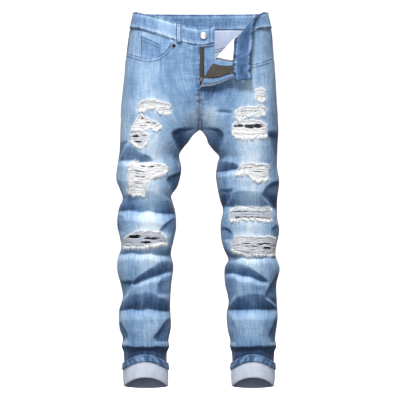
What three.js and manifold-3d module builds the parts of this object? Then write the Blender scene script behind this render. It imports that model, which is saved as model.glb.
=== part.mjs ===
// Ripped, cuffed five-pocket jeans, filled out as if worn, the fly open and its left corner turned back.
// Millimetres, +Z up, the front faces -Y. The origin is the middle of the waist, level with the side seams.
// "Right" and "left" are the wearer's: the right leg is at -X and the left leg at +X.
import * as THREE from "three";
import { mergeVertices } from "three/addons/utils/BufferGeometryUtils.js";
import Module from "manifold-3d";

const wasm = await Module();
wasm.setup();

// ---------------------------------------------------------------- driving dimensions
const CLOTH = 1.4; // denim, with its seam allowances averaged in
const HALF_GAP = 0.18; // sewn pieces stand twice this apart
const CROTCH_Z = -292;
const CROTCH_ROUND = 230; // height over which the two leg sections merge into one
const CROTCH_POWER = 1.9; // how round the bottom of the rise is
const UNDERLAP_X = 36; // the right half of the waistband and the fly shield end here
const OVERLAP_X = -6; // the left half of the waistband ends here when it is closed
const LOOP_WIDTH = 12;
const BUTTON = { x: 9, z: -62, radius: 9 };
const BUTTONHOLE = { x: 15, z: -64, long: 14, wide: 3.5 };
const RIVET_RADIUS = 4.5;

// Each layer's outer face, measured out from the denim's outer face, and its thickness.
const LAYER = {
  panel: { out: 0, thick: CLOTH },
  band: { out: 0.8, thick: 3 },
  coin: { out: -2, thick: 0.8 },
  facing: { out: -3.3, thick: 1.1 },
  bag: { out: -5.7, thick: 0.8 },
  flyFacing: { out: -2.3, thick: 1.1 },
  tape: { out: -4.2, thick: 0.8 },
  shield: { out: -6, thick: 1.3 },
  patch: { out: 2.3, thick: 1.3 },
};

// The turned-back corner folds along a line up from the fly's foot. FOLD is a point on it and its slant.
const FOLD = { x: 51.5, z: -115.5, alongX: 0.6525, alongZ: 0.758, stretch: 1.2, rise: 0.1 };

// ---------------------------------------------------------------- curves through hand-set points
// A smooth curve through [at, value] points, level beyond its ends.
function curve(points) {
  const p = [...points].sort((a, b) => a[0] - b[0]);
  const slope = p.map((_, i) => {
    const a = p[Math.max(i - 1, 0)];
    const b = p[Math.min(i + 1, p.length - 1)];
    return (b[1] - a[1]) / (b[0] - a[0]);
  });
  return (at) => {
    if (at <= p[0][0]) return p[0][1];
    if (at >= p[p.length - 1][0]) return p[p.length - 1][1];
    const i = p.findIndex((q) => q[0] > at) - 1;
    const w = p[i + 1][0] - p[i][0];
    const t = (at - p[i][0]) / w;
    const t2 = t * t;
    const t3 = t2 * t;
    return (
      (2 * t3 - 3 * t2 + 1) * p[i][1] +
      (t3 - 2 * t2 + t) * w * slope[i] +
      (3 * t2 - 2 * t3) * p[i + 1][1] +
      (t3 - t2) * w * slope[i + 1]
    );
  };
}

// x of the side seam and of the inseam by height, pinched in where the cloth buckles.
const OUTER = {
  right: curve([
    [0, -165], [-45, -175], [-105, -183], [-165, -188], [-230, -195], [-290, -198], [-345, -200],
    [-385, -206], [-415, -208], [-440, -199], [-463, -192], [-485, -201], [-525, -206], [-560, -199],
    [-583, -196], [-615, -205], [-645, -205], [-675, -197], [-707, -192], [-740, -201], [-785, -200],
    [-810, -192], [-830, -195], [-845, -190], [-940, -188],
  ]),
  left: curve([
    [0, 168], [-45, 178], [-105, 183], [-165, 187], [-230, 191], [-290, 195], [-330, 193], [-385, 192],
    [-420, 197], [-465, 192], [-510, 192], [-540, 197], [-575, 191], [-600, 187], [-635, 198],
    [-675, 190], [-715, 191], [-760, 193], [-810, 187], [-830, 190], [-845, 185], [-940, 183],
  ]),
};
const INNER = {
  right: curve([
    [-292, 0], [-297, -8], [-305, -17], [-320, -28], [-335, -41], [-350, -51], [-362, -52], [-385, -47],
    [-410, -50], [-435, -58], [-455, -72], [-470, -69], [-495, -62], [-535, -60], [-570, -67],
    [-600, -73], [-630, -67], [-675, -72], [-730, -75], [-780, -73], [-815, -79], [-830, -77],
    [-845, -82], [-940, -80],
  ]),
  left: curve([
    [-292, 0], [-297, 6], [-310, 15], [-325, 21], [-340, 32], [-358, 48], [-375, 44], [-405, 40],
    [-435, 44], [-465, 50], [-492, 58], [-525, 52], [-565, 54], [-590, 61], [-614, 71], [-635, 62],
    [-675, 63], [-700, 69], [-720, 72], [-750, 67], [-790, 70], [-815, 76], [-830, 75], [-845, 79],
    [-940, 80],
  ]),
};
// Depth of the front and of the back from the seams, the seams' own place, and how square a section is.
const DEPTH = {
  front: curve([
    [0, 74], [-45, 78], [-105, 82], [-200, 86], [-292, 84], [-360, 76], [-450, 66], [-560, 60],
    [-700, 56], [-800, 54], [-940, 53],
  ]),
  back: curve([
    [0, 78], [-45, 82], [-105, 94], [-200, 106], [-292, 97], [-360, 83], [-450, 70], [-560, 57],
    [-700, 58], [-800, 55], [-940, 53],
  ]),
};
const SEAM_Y = curve([[0, 0], [-200, 0], [-292, 6], [-400, 4], [-560, 0], [-760, 6], [-940, 8]]);
const SQUARE = curve([[0, 2.4], [-200, 2.4], [-292, 2.2], [-400, 2.1], [-940, 2.1]]);

// Edges, as heights by distance from the centre line.
const WAIST_FRONT_TOP = curve([[0, -43], [20, -40], [62, -28], [100, -16], [150, -4], [165, 0]]);
const WAIST_FRONT_SEAM = curve([[0, -87], [20, -85], [62, -74], [100, -60], [140, -46], [172, -40]]);
const WAIST_BACK_TOP = -1;
const WAIST_BACK_SEAM = -41;
const YOKE_SEAM = curve([[0, -106], [60, -92], [120, -76], [185, -62]]);
const SCOOP = {
  right: curve([
    [70, -50], [74, -74], [78, -88], [86, -99], [101, -110], [122, -116], [140, -114], [185, -99],
  ]),
  left: curve([
    [70, -50], [74, -80], [80, -98], [90, -112], [102, -122], [122, -130], [140, -128], [186, -112],
  ]),
};
// The turned-up cuff's fold and its top edge, by how far round from the seams (0) to the middle (1).
const CUFF_FOLD = { front: (b) => -929 + 24 * b ** 1.6, back: (b) => -929 - 8 * b };
const CUFF_TOP = { front: (b) => -870 + 22 * b ** 2.4, back: (b) => -870 - 8 * b };
const HEM_BAND = 18;

// ---------------------------------------------------------------- folds
// A valley runs across a leg through the [x, z] points of `line`. It is `deep`, opens over `up` above the
// line and `down` below it, and fades out over `taper` at both ends.
const FOLDS = {
  front: [
    { line: [[-208, -372], [-150, -368]], deep: 9, up: 36, down: 26, taper: 30 },
    { line: [[-100, -372], [-46, -376]], deep: 8, up: 34, down: 24, taper: 22 },
    { line: [[-208, -490], [-132, -496], [-56, -490]], deep: 15, up: 38, down: 40, taper: 10 },
    { line: [[-206, -590], [-132, -594], [-64, -596]], deep: 8, up: 18, down: 34, taper: 16 },
    { line: [[-172, -668], [-130, -656], [-66, -640]], deep: 13, up: 32, down: 34, taper: 22 },
    { line: [[-203, -738], [-134, -742], [-74, -740]], deep: 14, up: 36, down: 40, taper: 10 },
    { line: [[-200, -838], [-134, -840], [-74, -838]], deep: 9, up: 14, down: 11, taper: 8 },
    { line: [[40, -400], [92, -388]], deep: 10, up: 26, down: 28, taper: 20 },
    { line: [[48, -486], [122, -484], [196, -486]], deep: 13, up: 34, down: 36, taper: 12 },
    { line: [[56, -598], [122, -602], [190, -596]], deep: 8, up: 18, down: 30, taper: 16 },
    { line: [[64, -642], [110, -648], [158, -664]], deep: 12, up: 30, down: 34, taper: 20 },
    { line: [[68, -736], [130, -738], [194, -740]], deep: 14, up: 34, down: 38, taper: 10 },
    { line: [[74, -838], [130, -840], [192, -838]], deep: 9, up: 14, down: 11, taper: 8 },
  ],
  back: [
    { line: [[-195, -306], [-110, -314], [-30, -306]], deep: 7, up: 26, down: 30, taper: 20 },
    { line: [[30, -306], [110, -314], [190, -306]], deep: 7, up: 26, down: 30, taper: 20 },
    { line: [[-206, -470], [-132, -462], [-58, -468]], deep: 9, up: 30, down: 32, taper: 14 },
    { line: [[50, -466], [122, -458], [196, -470]], deep: 9, up: 30, down: 32, taper: 14 },
    { line: [[-205, -540], [-132, -556], [-62, -544]], deep: 12, up: 32, down: 36, taper: 12 },
    { line: [[54, -546], [122, -556], [196, -540]], deep: 12, up: 32, down: 36, taper: 12 },
    { line: [[-203, -690], [-134, -704], [-74, -696]], deep: 11, up: 32, down: 34, taper: 12 },
    { line: [[68, -694], [130, -704], [194, -690]], deep: 11, up: 32, down: 34, taper: 12 },
    { line: [[-200, -838], [-134, -844], [-74, -838]], deep: 8, up: 16, down: 14, taper: 8 },
    { line: [[74, -838], [130, -844], [192, -838]], deep: 8, up: 16, down: 14, taper: 8 },
  ],
};
for (const fold of [...FOLDS.front, ...FOLDS.back]) {
  fold.height = curve(fold.line);
  fold.from = fold.line[0][0];
  fold.to = fold.line[fold.line.length - 1][0];
}

const clamp01 = (t) => Math.min(1, Math.max(0, t));
const smooth = (t) => clamp01(t) ** 2 * (3 - 2 * clamp01(t));
const valley = (t) => (t >= 1 ? 0 : (1 - t) ** 2 * (1 + 0.6 * t));

// How far the folds push the cloth in at a place on the front or the back.
function foldDepth(face, x, z) {
  let sum = 0;
  for (const f of FOLDS[face]) {
    const inside = Math.min(x - f.from, f.to - x);
    if (inside <= 0) continue;
    const above = z - f.height(x);
    const across = above >= 0 ? above / f.up : -above / f.down;
    sum += f.deep * valley(across) * smooth(inside / f.taper);
  }
  return sum;
}

// ---------------------------------------------------------------- the garment's surface
const SIDE_SIGN = { right: -1, left: 1 };
const FACE_SIGN = { front: -1, back: 1 };

// One leg's section, or above the crotch its half of the joint section, which stops at the centre line.
function section(side, z) {
  const outer = Math.abs(OUTER[side](z));
  const square = SQUARE(z);
  if (z <= CROTCH_Z) {
    const inner = Math.abs(INNER[side](z));
    return { centre: (outer + inner) / 2, half: (outer - inner) / 2, square, last: Math.PI };
  }
  const merge = (1 - clamp01((z - CROTCH_Z) / CROTCH_ROUND)) ** CROTCH_POWER;
  const half = outer / (1 + merge);
  return { centre: merge * half, half, square, last: Math.acos(-(merge ** (square / 2))) };
}

// The point at an angle round the section: 0 at the side seam, then round the front or back to the inseam.
function atAngle(side, face, angle, z) {
  const s = section(side, z);
  const c = Math.cos(angle);
  const x = SIDE_SIGN[side] * (s.centre + s.half * Math.sign(c) * Math.abs(c) ** (2 / s.square));
  const bulge = Math.abs(Math.sin(angle)) ** (2 / s.square);
  const depth = DEPTH[face](z) * bulge - foldDepth(face, x, z) * Math.min(1, 1.4 * bulge);
  return new THREE.Vector3(x, SEAM_Y(z) + FACE_SIGN[face] * depth, z);
}

// The outward normal there.
function normalAt(side, face, angle, z) {
  const e = 0.02;
  const s = section(side, z);
  const high = Math.min(angle + e, Math.PI);
  const low = Math.max(angle - e, 0);
  const round = atAngle(side, face, high, z).sub(atAngle(side, face, low, z));
  const up = atAngle(side, face, angle, z + 1).sub(atAngle(side, face, angle, z - 1));
  const n = round.cross(up);
  const away = new THREE.Vector3(Math.cos(angle) * SIDE_SIGN[side], Math.sin(angle) * FACE_SIGN[face], 0);
  if (n.dot(away) < 0) n.negate();
  if (s.last < Math.PI) n.x *= smooth(Math.abs(atAngle(side, face, angle, z).x) / 14);
  if (angle < 0.004 || angle > Math.PI - 0.004) n.y = 0;
  if (z === CROTCH_Z && angle > Math.PI - 0.004) n.set(0, 0, -1);
  return n.normalize();
}

// The angle at which a section reaches an x.
function angleOf(side, x, z) {
  const s = section(side, z);
  const c = Math.max(-1, Math.min(1, (x * SIDE_SIGN[side] - s.centre) / s.half));
  return Math.acos(Math.sign(c) * Math.abs(c) ** (s.square / 2));
}

// A place at an angle round a section, moved out by `out`.
const onSection = (side, face, angle, z, out) =>
  atAngle(side, face, angle, z).addScaledVector(normalAt(side, face, angle, z), out);

// A place on the front or back given by its x and z, moved out by `out`.
function onFace(face, x, z, out) {
  const side = x < 0 ? "right" : "left";
  return onSection(side, face, angleOf(side, x, z), z, out);
}

// ---------------------------------------------------------------- the turned-back corner
// Places near the fold are given by `along` it from FOLD and `past` it, towards the turned-back cloth.
const ROLL_RADIUS = curve([[-100, 2.5], [-60, 4.5], [-20, 6], [60, 6], [150, 5]]);
const ROLL_CREST = curve([[-100, -10], [-88, -8], [-48, 0], [-12, 5], [60, 4], [140, 3]]);
const alongFold = (x, z) => (x - FOLD.x) * FOLD.alongX + (z - FOLD.z) * FOLD.alongZ;
const acrossFold = (x, z) => -(x - FOLD.x) * FOLD.alongZ + (z - FOLD.z) * FOLD.alongX;
// The turned-back cloth hangs a little below its fold, and the band on it is stiff and is not drawn out.
const SAG = curve([[0, 0], [8, 3], [30, 13], [62, 9]]);
const BAND_EASE = 0.2;
const rollStart = (along) => ROLL_CREST(along) - ROLL_RADIUS(along) - CLOTH;
const pastFold = (x, z) => acrossFold(x, z) - rollStart(alongFold(x, z));

// Where a place on the closed front goes when the corner is turned back.
function turned(x, z, out) {
  const past = pastFold(x, z);
  if (past <= 0) return onFace("front", x, z, out);
  const overBand = Math.max(0, z - WAIST_FRONT_SEAM(Math.abs(x)));
  return onTurned(x, z - BAND_EASE * overBand * Math.min(1, past / 20), out);
}

function onTurned(x, z, out) {
  const past = Math.max(0, pastFold(x, z));
  const along = alongFold(x, z);
  const radius = ROLL_RADIUS(along);
  const turn = Math.min(Math.PI, past / radius);
  const beyond = Math.max(0, past - Math.PI * radius);
  const across = rollStart(along) + (radius - out) * Math.sin(turn) - FOLD.stretch * beyond;
  const lift = radius - (radius - out) * Math.cos(turn) + FOLD.rise * beyond;
  const atX = FOLD.x + along * FOLD.alongX - across * FOLD.alongZ;
  const atZ = FOLD.z + along * FOLD.alongZ + across * FOLD.alongX - SAG(past);
  return onFace("front", atX, atZ, lift);
}

// The height at which the corner starts to turn, over an x on the front.
function turnHeight(x) {
  let low = -230;
  let high = 40;
  for (let i = 0; i < 30; i++) {
    const mid = (low + high) / 2;
    if (pastFold(x, mid) > 0) high = mid;
    else low = mid;
  }
  return low;
}

// Heights from `top` down to `bottom` over an x: `rolled` steps above the turn and `flat` steps below it.
function rowsAcrossFold(x, top, bottom, rolled, flat) {
  const turnZ = turnHeight(x);
  const split = Math.max(bottom + 1.5, Math.min(turnZ, top - 8));
  const above = [];
  const arc = split === turnZ ? (Math.PI * 6) / 5 / FOLD.alongX : 1e6;
  for (let k = 0; k <= rolled; k++) {
    const even = ((top - split) * k) / rolled;
    const onRoll = Math.min(arc * k, even);
    const pastRoll = k <= 5 ? onRoll : Math.min(arc * 5, ((top - split) * 5) / rolled);
    const rest = k <= 5 ? 0 : ((top - split - pastRoll) * (k - 5)) / (rolled - 5);
    above.push(split + pastRoll + rest);
  }
  const below = spread(split, bottom, flat).slice(1);
  return [...above.reverse(), ...below];
}

// The same count of heights where nothing turns.
const rowsBelow = (top, bottom, rolled, flat) => [
  ...spread(top, top - 8, rolled),
  ...spread(top - 8, bottom, flat).slice(1),
];

// ---------------------------------------------------------------- solids
const spread = (from, to, count) =>
  Array.from({ length: count + 1 }, (_, i) => from + ((to - from) * i) / count);

// A closed wall between two grids of points. A ring's last column meets its first.
function wall(top, bottom, ring = false) {
  const rows = top.length;
  const cols = top[0].length;
  const vertices = [...top.flat(), ...bottom.flat()].flatMap((p) => [p.x, p.y, p.z]);
  const id = (layer, r, c) => layer * rows * cols + r * cols + (c % cols);
  const index = [];
  const quad = (a, b, c, d) => index.push(a, b, c, a, c, d);
  const last = ring ? cols : cols - 1;
  for (let r = 0; r < rows - 1; r++)
    for (let c = 0; c < last; c++) {
      quad(id(0, r, c), id(0, r + 1, c), id(0, r + 1, c + 1), id(0, r, c + 1));
      quad(id(1, r, c + 1), id(1, r + 1, c + 1), id(1, r + 1, c), id(1, r, c));
    }
  for (let c = 0; c < last; c++) {
    quad(id(0, 0, c), id(0, 0, c + 1), id(1, 0, c + 1), id(1, 0, c));
    quad(id(0, rows - 1, c), id(1, rows - 1, c), id(1, rows - 1, c + 1), id(0, rows - 1, c + 1));
  }
  if (!ring)
    for (let r = 0; r < rows - 1; r++) {
      quad(id(0, r, 0), id(1, r, 0), id(1, r + 1, 0), id(0, r + 1, 0));
      quad(id(0, r, cols - 1), id(0, r + 1, cols - 1), id(1, r + 1, cols - 1), id(1, r, cols - 1));
    }
  const g = new THREE.BufferGeometry();
  g.setAttribute("position", new THREE.Float32BufferAttribute(vertices, 3));
  g.setIndex(index);
  return facingOut(g);
}

// Turns a closed geometry's faces outwards if they face in.
function facingOut(geometry) {
  const p = geometry.attributes.position;
  const index = geometry.index.array;
  const [a, b, c] = [new THREE.Vector3(), new THREE.Vector3(), new THREE.Vector3()];
  let volume = 0;
  for (let i = 0; i < index.length; i += 3) {
    a.fromBufferAttribute(p, index[i]);
    b.fromBufferAttribute(p, index[i + 1]);
    c.fromBufferAttribute(p, index[i + 2]);
    volume += a.dot(b.cross(c));
  }
  if (volume < 0)
    for (let i = 0; i < index.length; i += 3) {
      const second = index[i + 1];
      index[i + 1] = index[i + 2];
      index[i + 2] = second;
    }
  geometry.computeVertexNormals();
  return geometry;
}

// A sheet from columns of places, each place being (out) => point.
function sheet(columns, layer, ring = false) {
  const rows = columns[0].map((_, r) => columns.map((c) => c[r]));
  return wall(
    rows.map((row) => row.map((place) => place(layer.out))),
    rows.map((row) => row.map((place) => place(layer.out - layer.thick))),
    ring,
  );
}

// A sheet on the front or back between two edges that are heights by x.
function patch(face, xs, upper, lower, steps, layer) {
  const columns = xs.map((x) =>
    spread(upper(x), lower(x), steps).map((z) => (out) => onFace(face, x, z, out)),
  );
  return sheet(columns, layer);
}

// A sheet on the left front that follows the turned-back corner.
function cornerPatch(xs, upper, lower, rolled, flat, layer) {
  const columns = xs.map((x) =>
    rowsAcrossFold(x, upper(x), lower(x), rolled, flat).map((z) => (out) => turned(x, z, out)),
  );
  return sheet(columns, layer);
}

// ---------------------------------------------------------------- cutting
function toSolid(geometry) {
  const g = geometry.clone();
  g.deleteAttribute("normal");
  g.deleteAttribute("uv");
  const merged = mergeVertices(g, 1e-4);
  return new wasm.Manifold(
    new wasm.Mesh({
      numProp: 3,
      vertProperties: new Float32Array(merged.attributes.position.array),
      triVerts: new Uint32Array(merged.index.array),
    }),
  );
}

function toGeometry(solid) {
  const m = solid.getMesh();
  const g = new THREE.BufferGeometry();
  g.setAttribute("position", new THREE.Float32BufferAttribute(Array.from(m.vertProperties), 3));
  g.setIndex(Array.from(m.triVerts));
  g.computeVertexNormals();
  return g;
}

const cut = (geometry, cutters) =>
  toGeometry(cutters.reduce((solid, c) => solid.subtract(toSolid(c)), toSolid(geometry)));

// A lens-shaped cutter along Y for a slit in the front of a leg.
function slit(x, z, wide, high) {
  const shape = new THREE.Shape();
  shape.moveTo(-wide / 2, 0);
  shape.quadraticCurveTo(0, high, wide / 2, 0);
  shape.quadraticCurveTo(0, -high, -wide / 2, 0);
  const g = new THREE.ExtrudeGeometry(shape, { depth: 60, bevelEnabled: false, curveSegments: 3 });
  g.rotateX(Math.PI / 2);
  return g.translate(x, onFace("front", x, z, 0).y + 30, z);
}

// ---------------------------------------------------------------- leg panels
const FRONT_SHARES = [0, 0.08, 0.2, 0.34, 0.48, 0.6, 0.7, 0.78, 0.87, 0.945, 1];
const BACK_SHARES = [0, 0.1, 0.26, 0.44, 0.62, 0.82, 1];
const JOIN_Z = -152;
const LEG_ROWS = [
  -195, -245, -275, -288, -292, -300, -320, -345, -368, -398, -436, -464, -490, -520, -556, -590, -614,
  -648, -680, -710, -740, -770, -805, -828, -840, -868,
];

// A place on a panel, a share of the way round from its side seam, just clear of the seams it ends at.
function panelPlace(side, face, share, z) {
  const last = section(side, z).last;
  const angle = share * last;
  const atSeam = share === 0 || (share === 1 && z <= CROTCH_Z);
  return (out) => {
    const p = onSection(side, face, angle, z, out);
    if (atSeam) p.y += FACE_SIGN[face] * HALF_GAP;
    if (share === 1) p.x += SIDE_SIGN[side] * HALF_GAP;
    return p;
  };
}

const xAtShare = (side, face, share, z) => atAngle(side, face, share * section(side, z).last, z).x;

// The height at which the column at a share meets an edge.
function meets(side, face, share, edge) {
  let z = edge(100);
  for (let i = 0; i < 30; i++) z = (z + edge(Math.abs(xAtShare(side, face, share, z)))) / 2;
  return z;
}

const lowEnd = (face, share) => CUFF_FOLD[face](Math.sin(share * Math.PI)) + CLOTH + 0.5;

// A front or back panel from its shaped top edge down to the cuff's fold.
function legPanel(side, face, shares, edge) {
  const columns = shares.map((share) => {
    const tops = spread(meets(side, face, share, edge), JOIN_Z, 4);
    return [...tops, ...LEG_ROWS, lowEnd(face, share)].map((z) => panelPlace(side, face, share, z));
  });
  return sheet(columns, LAYER.panel);
}

const overSeam = (x) => WAIST_FRONT_SEAM(Math.abs(x)) - 4 * HALF_GAP;
const rightFrontEdge = (x) => Math.min(SCOOP.right(x), overSeam(x));
const leftFrontEdge = (x) => Math.min(SCOOP.left(x), overSeam(x));
const backEdge = (x) => YOKE_SEAM(x) - 2 * HALF_GAP;

// The left front, with its upper centre corner turned back.
function leftFront() {
  const joinZ = -208;
  const rolled = 8;
  const flat = 5;
  const shares = [...FRONT_SHARES];
  const columns = shares.map((share) => {
    let turnZ = -180;
    for (let i = 0; i < 20; i++) turnZ = (turnZ + turnHeight(xAtShare("left", "front", share, turnZ))) / 2;
    const x = share === 1 ? HALF_GAP : xAtShare("left", "front", share, turnZ);
    const edgeZ = leftFrontEdge(x);
    let head;
    if (edgeZ > turnZ + 2)
      head = rowsAcrossFold(x, edgeZ, joinZ, rolled, flat).map((z) => {
        const low = clamp01((z - joinZ) / (turnZ - joinZ));
        return pastFold(x, z) > 0
          ? (out) => turned(x, z, out)
          : panelPlace("left", "front", blendShare(share, x, z, low), z);
      });
    else
      head = rowsBelow(meets("left", "front", share, leftFrontEdge), joinZ, rolled, flat).map((z) =>
        panelPlace("left", "front", share, z),
      );
    const legs = LEG_ROWS.filter((z) => z < joinZ - 6).map((z) => panelPlace("left", "front", share, z));
    return [...head, ...legs, panelPlace("left", "front", share, lowEnd("front", share))];
  });
  return sheet(columns, LAYER.panel);
}

// The share that reaches x at the turn and glides back to the column's own share below it.
function blendShare(share, x, z, low) {
  if (share === 1) return 1;
  const own = angleOf("left", x, z) / section("left", z).last;
  return share + (own - share) * low;
}

// ---------------------------------------------------------------- the waistband, one folded strip
function waistband() {
  const columns = [];
  const column = (place, top, seam) => {
    const heights = [top, (top + seam) / 2, seam];
    columns.push(heights.map((z, i) => place(i / 2, z)));
  };
  const cornerAngles = [0.7, 0.52, 0.36, 0.22, 0.1];
  const round = (side, face, angle) => {
    const place = (f, z) => (out) => onSection(side, face, angle, z, out);
    if (face === "back") return column(place, WAIST_BACK_TOP, WAIST_BACK_SEAM);
    const x = Math.abs(atAngle(side, "front", angle, -25).x);
    return column(place, WAIST_FRONT_TOP(x), WAIST_FRONT_SEAM(x));
  };
  for (const x of [UNDERLAP_X, 24, 12, 0, -12, -25, -38, -51, -62, -72, -90, -108]) {
    const at = Math.abs(x);
    column((f, z) => (out) => onFace("front", x, z, out), WAIST_FRONT_TOP(at), WAIST_FRONT_SEAM(at));
  }
  for (const angle of [...cornerAngles, 0]) round("right", "front", angle);
  const backAngles = [...cornerAngles].reverse();
  for (const angle of [...backAngles, 0.9, 1.1, 1.33, Math.PI / 2]) round("right", "back", angle);
  for (const angle of [1.33, 1.1, 0.9, ...cornerAngles]) round("left", "back", angle);
  for (const angle of [0, 0.1, 0.22, 0.36]) round("left", "front", angle);
  // From here the columns lean with the fold.
  const leaning = [156, 143, 130, 116, 107, 102, 97, 92, 87, 82, 77, 72, 62, 51, 38, 25, 12, 0, OVERLAP_X];
  for (const seamX of leaning) {
    const seamZ = WAIST_FRONT_SEAM(Math.abs(seamX));
    const lean = seamX > 40 ? Math.min(1, (seamX - 40) / 30) * Math.min(1, (162 - seamX) / 50) : 0;
    const topX = seamX + (lean * 44 * FOLD.alongX) / FOLD.alongZ;
    const topZ = WAIST_FRONT_TOP(Math.abs(topX));
    column((f, z) => (out) => turned(topX + (seamX - topX) * f, z, out), topZ, seamZ);
  }
  return sheet(columns, LAYER.band);
}

// ---------------------------------------------------------------- cuffs
const CUFF_COLUMNS = [
  ...FRONT_SHARES.map((share) => ({ face: "front", share })),
  ...BACK_SHARES.slice(1, -1).reverse().map((share) => ({ face: "back", share })),
];

// A ring round a leg from two paths of [height, out] by column.
function legRing(side, outerPath, innerPath) {
  const grid = (path) => {
    const columns = CUFF_COLUMNS.map(({ face, share }) =>
      path(face, Math.sin(share * Math.PI)).map(([z, out]) =>
        onSection(side, face, share * Math.PI, z, out),
      ),
    );
    return columns[0].map((_, r) => columns.map((c) => c[r]));
  };
  return wall(grid(outerPath), grid(innerPath), true);
}

function cuff(side) {
  const top = (face, b) => CUFF_TOP[face](b);
  const fold = (face, b) => CUFF_FOLD[face](b);
  return legRing(
    side,
    (face, b) => [
      [top(face, b), 2.2],
      [(top(face, b) + fold(face, b)) / 2, 3.4],
      [fold(face, b) + 4, 2.4],
      [fold(face, b) + 1, 1.4],
      [fold(face, b), -0.2],
      [fold(face, b) + 0.2, -1.4],
    ],
    (face, b) => [
      [top(face, b), 0.8],
      [(top(face, b) + fold(face, b)) / 2, 2],
      [fold(face, b) + 4, 1],
      [fold(face, b) + 2.2, 0.6],
      [fold(face, b) + 1.4, -0.2],
      [fold(face, b) + 1.4, -1.4],
    ],
  );
}

function hemBand(side) {
  const middle = (face, b) => CUFF_TOP[face](b) - HEM_BAND / 2;
  return legRing(
    side,
    (face, b) => [
      [CUFF_TOP[face](b) + 0.8, 3.8],
      [middle(face, b), 5.2],
      [CUFF_TOP[face](b) - HEM_BAND, 5.4],
    ],
    (face, b) => [
      [CUFF_TOP[face](b) + 0.8, 2.7],
      [middle(face, b), 3.6],
      [CUFF_TOP[face](b) - HEM_BAND, 4.2],
    ],
  );
}

// ---------------------------------------------------------------- small pieces
// A belt loop over the band, arched away from it between its two tacked ends.
function beltLoop(place, top, bottom) {
  const steps = [0, 0.12, 0.35, 0.65, 0.88, 1];
  const arch = [1.6, 2.6, 3.4, 3.4, 2.8, 2.3];
  const heights = steps.map((t) => top + (bottom - top) * t);
  const grid = (extra) =>
    heights.map((z, i) => [-0.5, 0.5].map((w) => place(w * LOOP_WIDTH, z, arch[i] + extra)));
  return wall(grid(1.3), grid(0));
}

// A turned metal piece standing on the cloth, from [radius, height] pairs; `place(out)` is its axis.
function stud(place, out, profile) {
  const g = new THREE.LatheGeometry(profile.map(([r, h]) => new THREE.Vector2(r, h)), 20);
  g.deleteAttribute("normal");
  g.deleteAttribute("uv");
  const axis = place(out + 1).sub(place(out)).normalize();
  g.applyQuaternion(new THREE.Quaternion().setFromUnitVectors(new THREE.Vector3(0, 1, 0), axis));
  const foot = place(out);
  g.translate(foot.x, foot.y, foot.z);
  const merged = mergeVertices(g, 1e-3);
  const index = [];
  for (let i = 0; i < merged.index.count; i += 3) {
    const [a, b, c] = [0, 1, 2].map((k) => merged.index.getX(i + k));
    if (a !== b && b !== c && a !== c) index.push(a, b, c);
  }
  merged.setIndex(index);
  return facingOut(merged);
}

const BUTTON_PROFILE = [
  [0, 0], [3.2, 0], [3.2, 2], [8.6, 2], [BUTTON.radius, 2.8], [8.2, 4], [4.5, 4.7], [0, 5],
];
const RIVET_PROFILE = [[0, 0], [RIVET_RADIUS, 0], [RIVET_RADIUS, 0.6], [3.2, 1.4], [0, 1.6]];

// ---------------------------------------------------------------- the tree
const jeans = new THREE.Group();
jeans.name = "ripped_jeans";

const MATERIALS = {
  washed_denim: new THREE.MeshStandardMaterial({ color: 0x8fb0d4, roughness: 0.9, metalness: 0 }),
  denim_wrong_side: new THREE.MeshStandardMaterial({ color: 0xd3d9ea, roughness: 0.95, metalness: 0 }),
  pocket_cloth: new THREE.MeshStandardMaterial({ color: 0xefece6, roughness: 0.95, metalness: 0 }),
  zip_tape_cloth: new THREE.MeshStandardMaterial({ color: 0x6a5f4c, roughness: 0.9, metalness: 0 }),
  button_metal: new THREE.MeshStandardMaterial({ color: 0xd8e0e2, roughness: 0.3, metalness: 1 }),
  rivet_metal: new THREE.MeshStandardMaterial({ color: 0x3a3648, roughness: 0.45, metalness: 1 }),
  zip_metal: new THREE.MeshStandardMaterial({ color: 0x8a7350, roughness: 0.4, metalness: 1 }),
};

function add(name, geometry, material) {
  const mesh = new THREE.Mesh(geometry, material);
  mesh.name = name;
  jeans.add(mesh);
}

// The slits that go right through the thread-bare patches, as [x, z, wide, high].
const SLITS = {
  right: [[-162, -556, 31, 8], [-119, -561, 30, 5], [-132, -570.5, 25, 6], [-110, -252, 62, 8]],
  left: [[116, -284, 68, 13], [161, -579, 33, 14], [123, -255, 62, 5]],
};

add("front_panel_right",
  cut(legPanel("right", "front", FRONT_SHARES, rightFrontEdge), SLITS.right.map((s) => slit(...s))),
  MATERIALS.washed_denim);
add("front_panel_left", cut(leftFront(), SLITS.left.map((s) => slit(...s))), MATERIALS.washed_denim);

for (const side of ["right", "left"]) {
  add(`back_panel_${side}`, legPanel(side, "back", BACK_SHARES, backEdge), MATERIALS.washed_denim);
  const yokeColumns = BACK_SHARES.map((share) => {
    const low = meets(side, "back", share, YOKE_SEAM);
    return spread(WAIST_BACK_SEAM - 2 * HALF_GAP, low, 2).map((z) => panelPlace(side, "back", share, z));
  });
  add(`back_yoke_${side}`, sheet(yokeColumns, LAYER.panel), MATERIALS.washed_denim);
  // A patch pocket, straight-sided and pointed at the foot.
  const sign = SIDE_SIGN[side];
  const pocketTop = (x) => -112 + 0.06 * (Math.abs(x) - 96);
  const pocketFoot = (x) => -238 - 18 * (1 - Math.abs(Math.abs(x) - 96) / 66);
  const pocketXs = [34, 54, 75, 96, 117, 138, 158].map((x) => sign * x);
  const pocket = patch("back", pocketXs, pocketTop, pocketFoot, 5, LAYER.patch);
  add(`back_pocket_${side}`, pocket, MATERIALS.washed_denim);
  add(`cuff_${side}`, cuff(side), MATERIALS.denim_wrong_side);
  add(`hem_band_${side}`, hemBand(side), MATERIALS.washed_denim);
}

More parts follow.
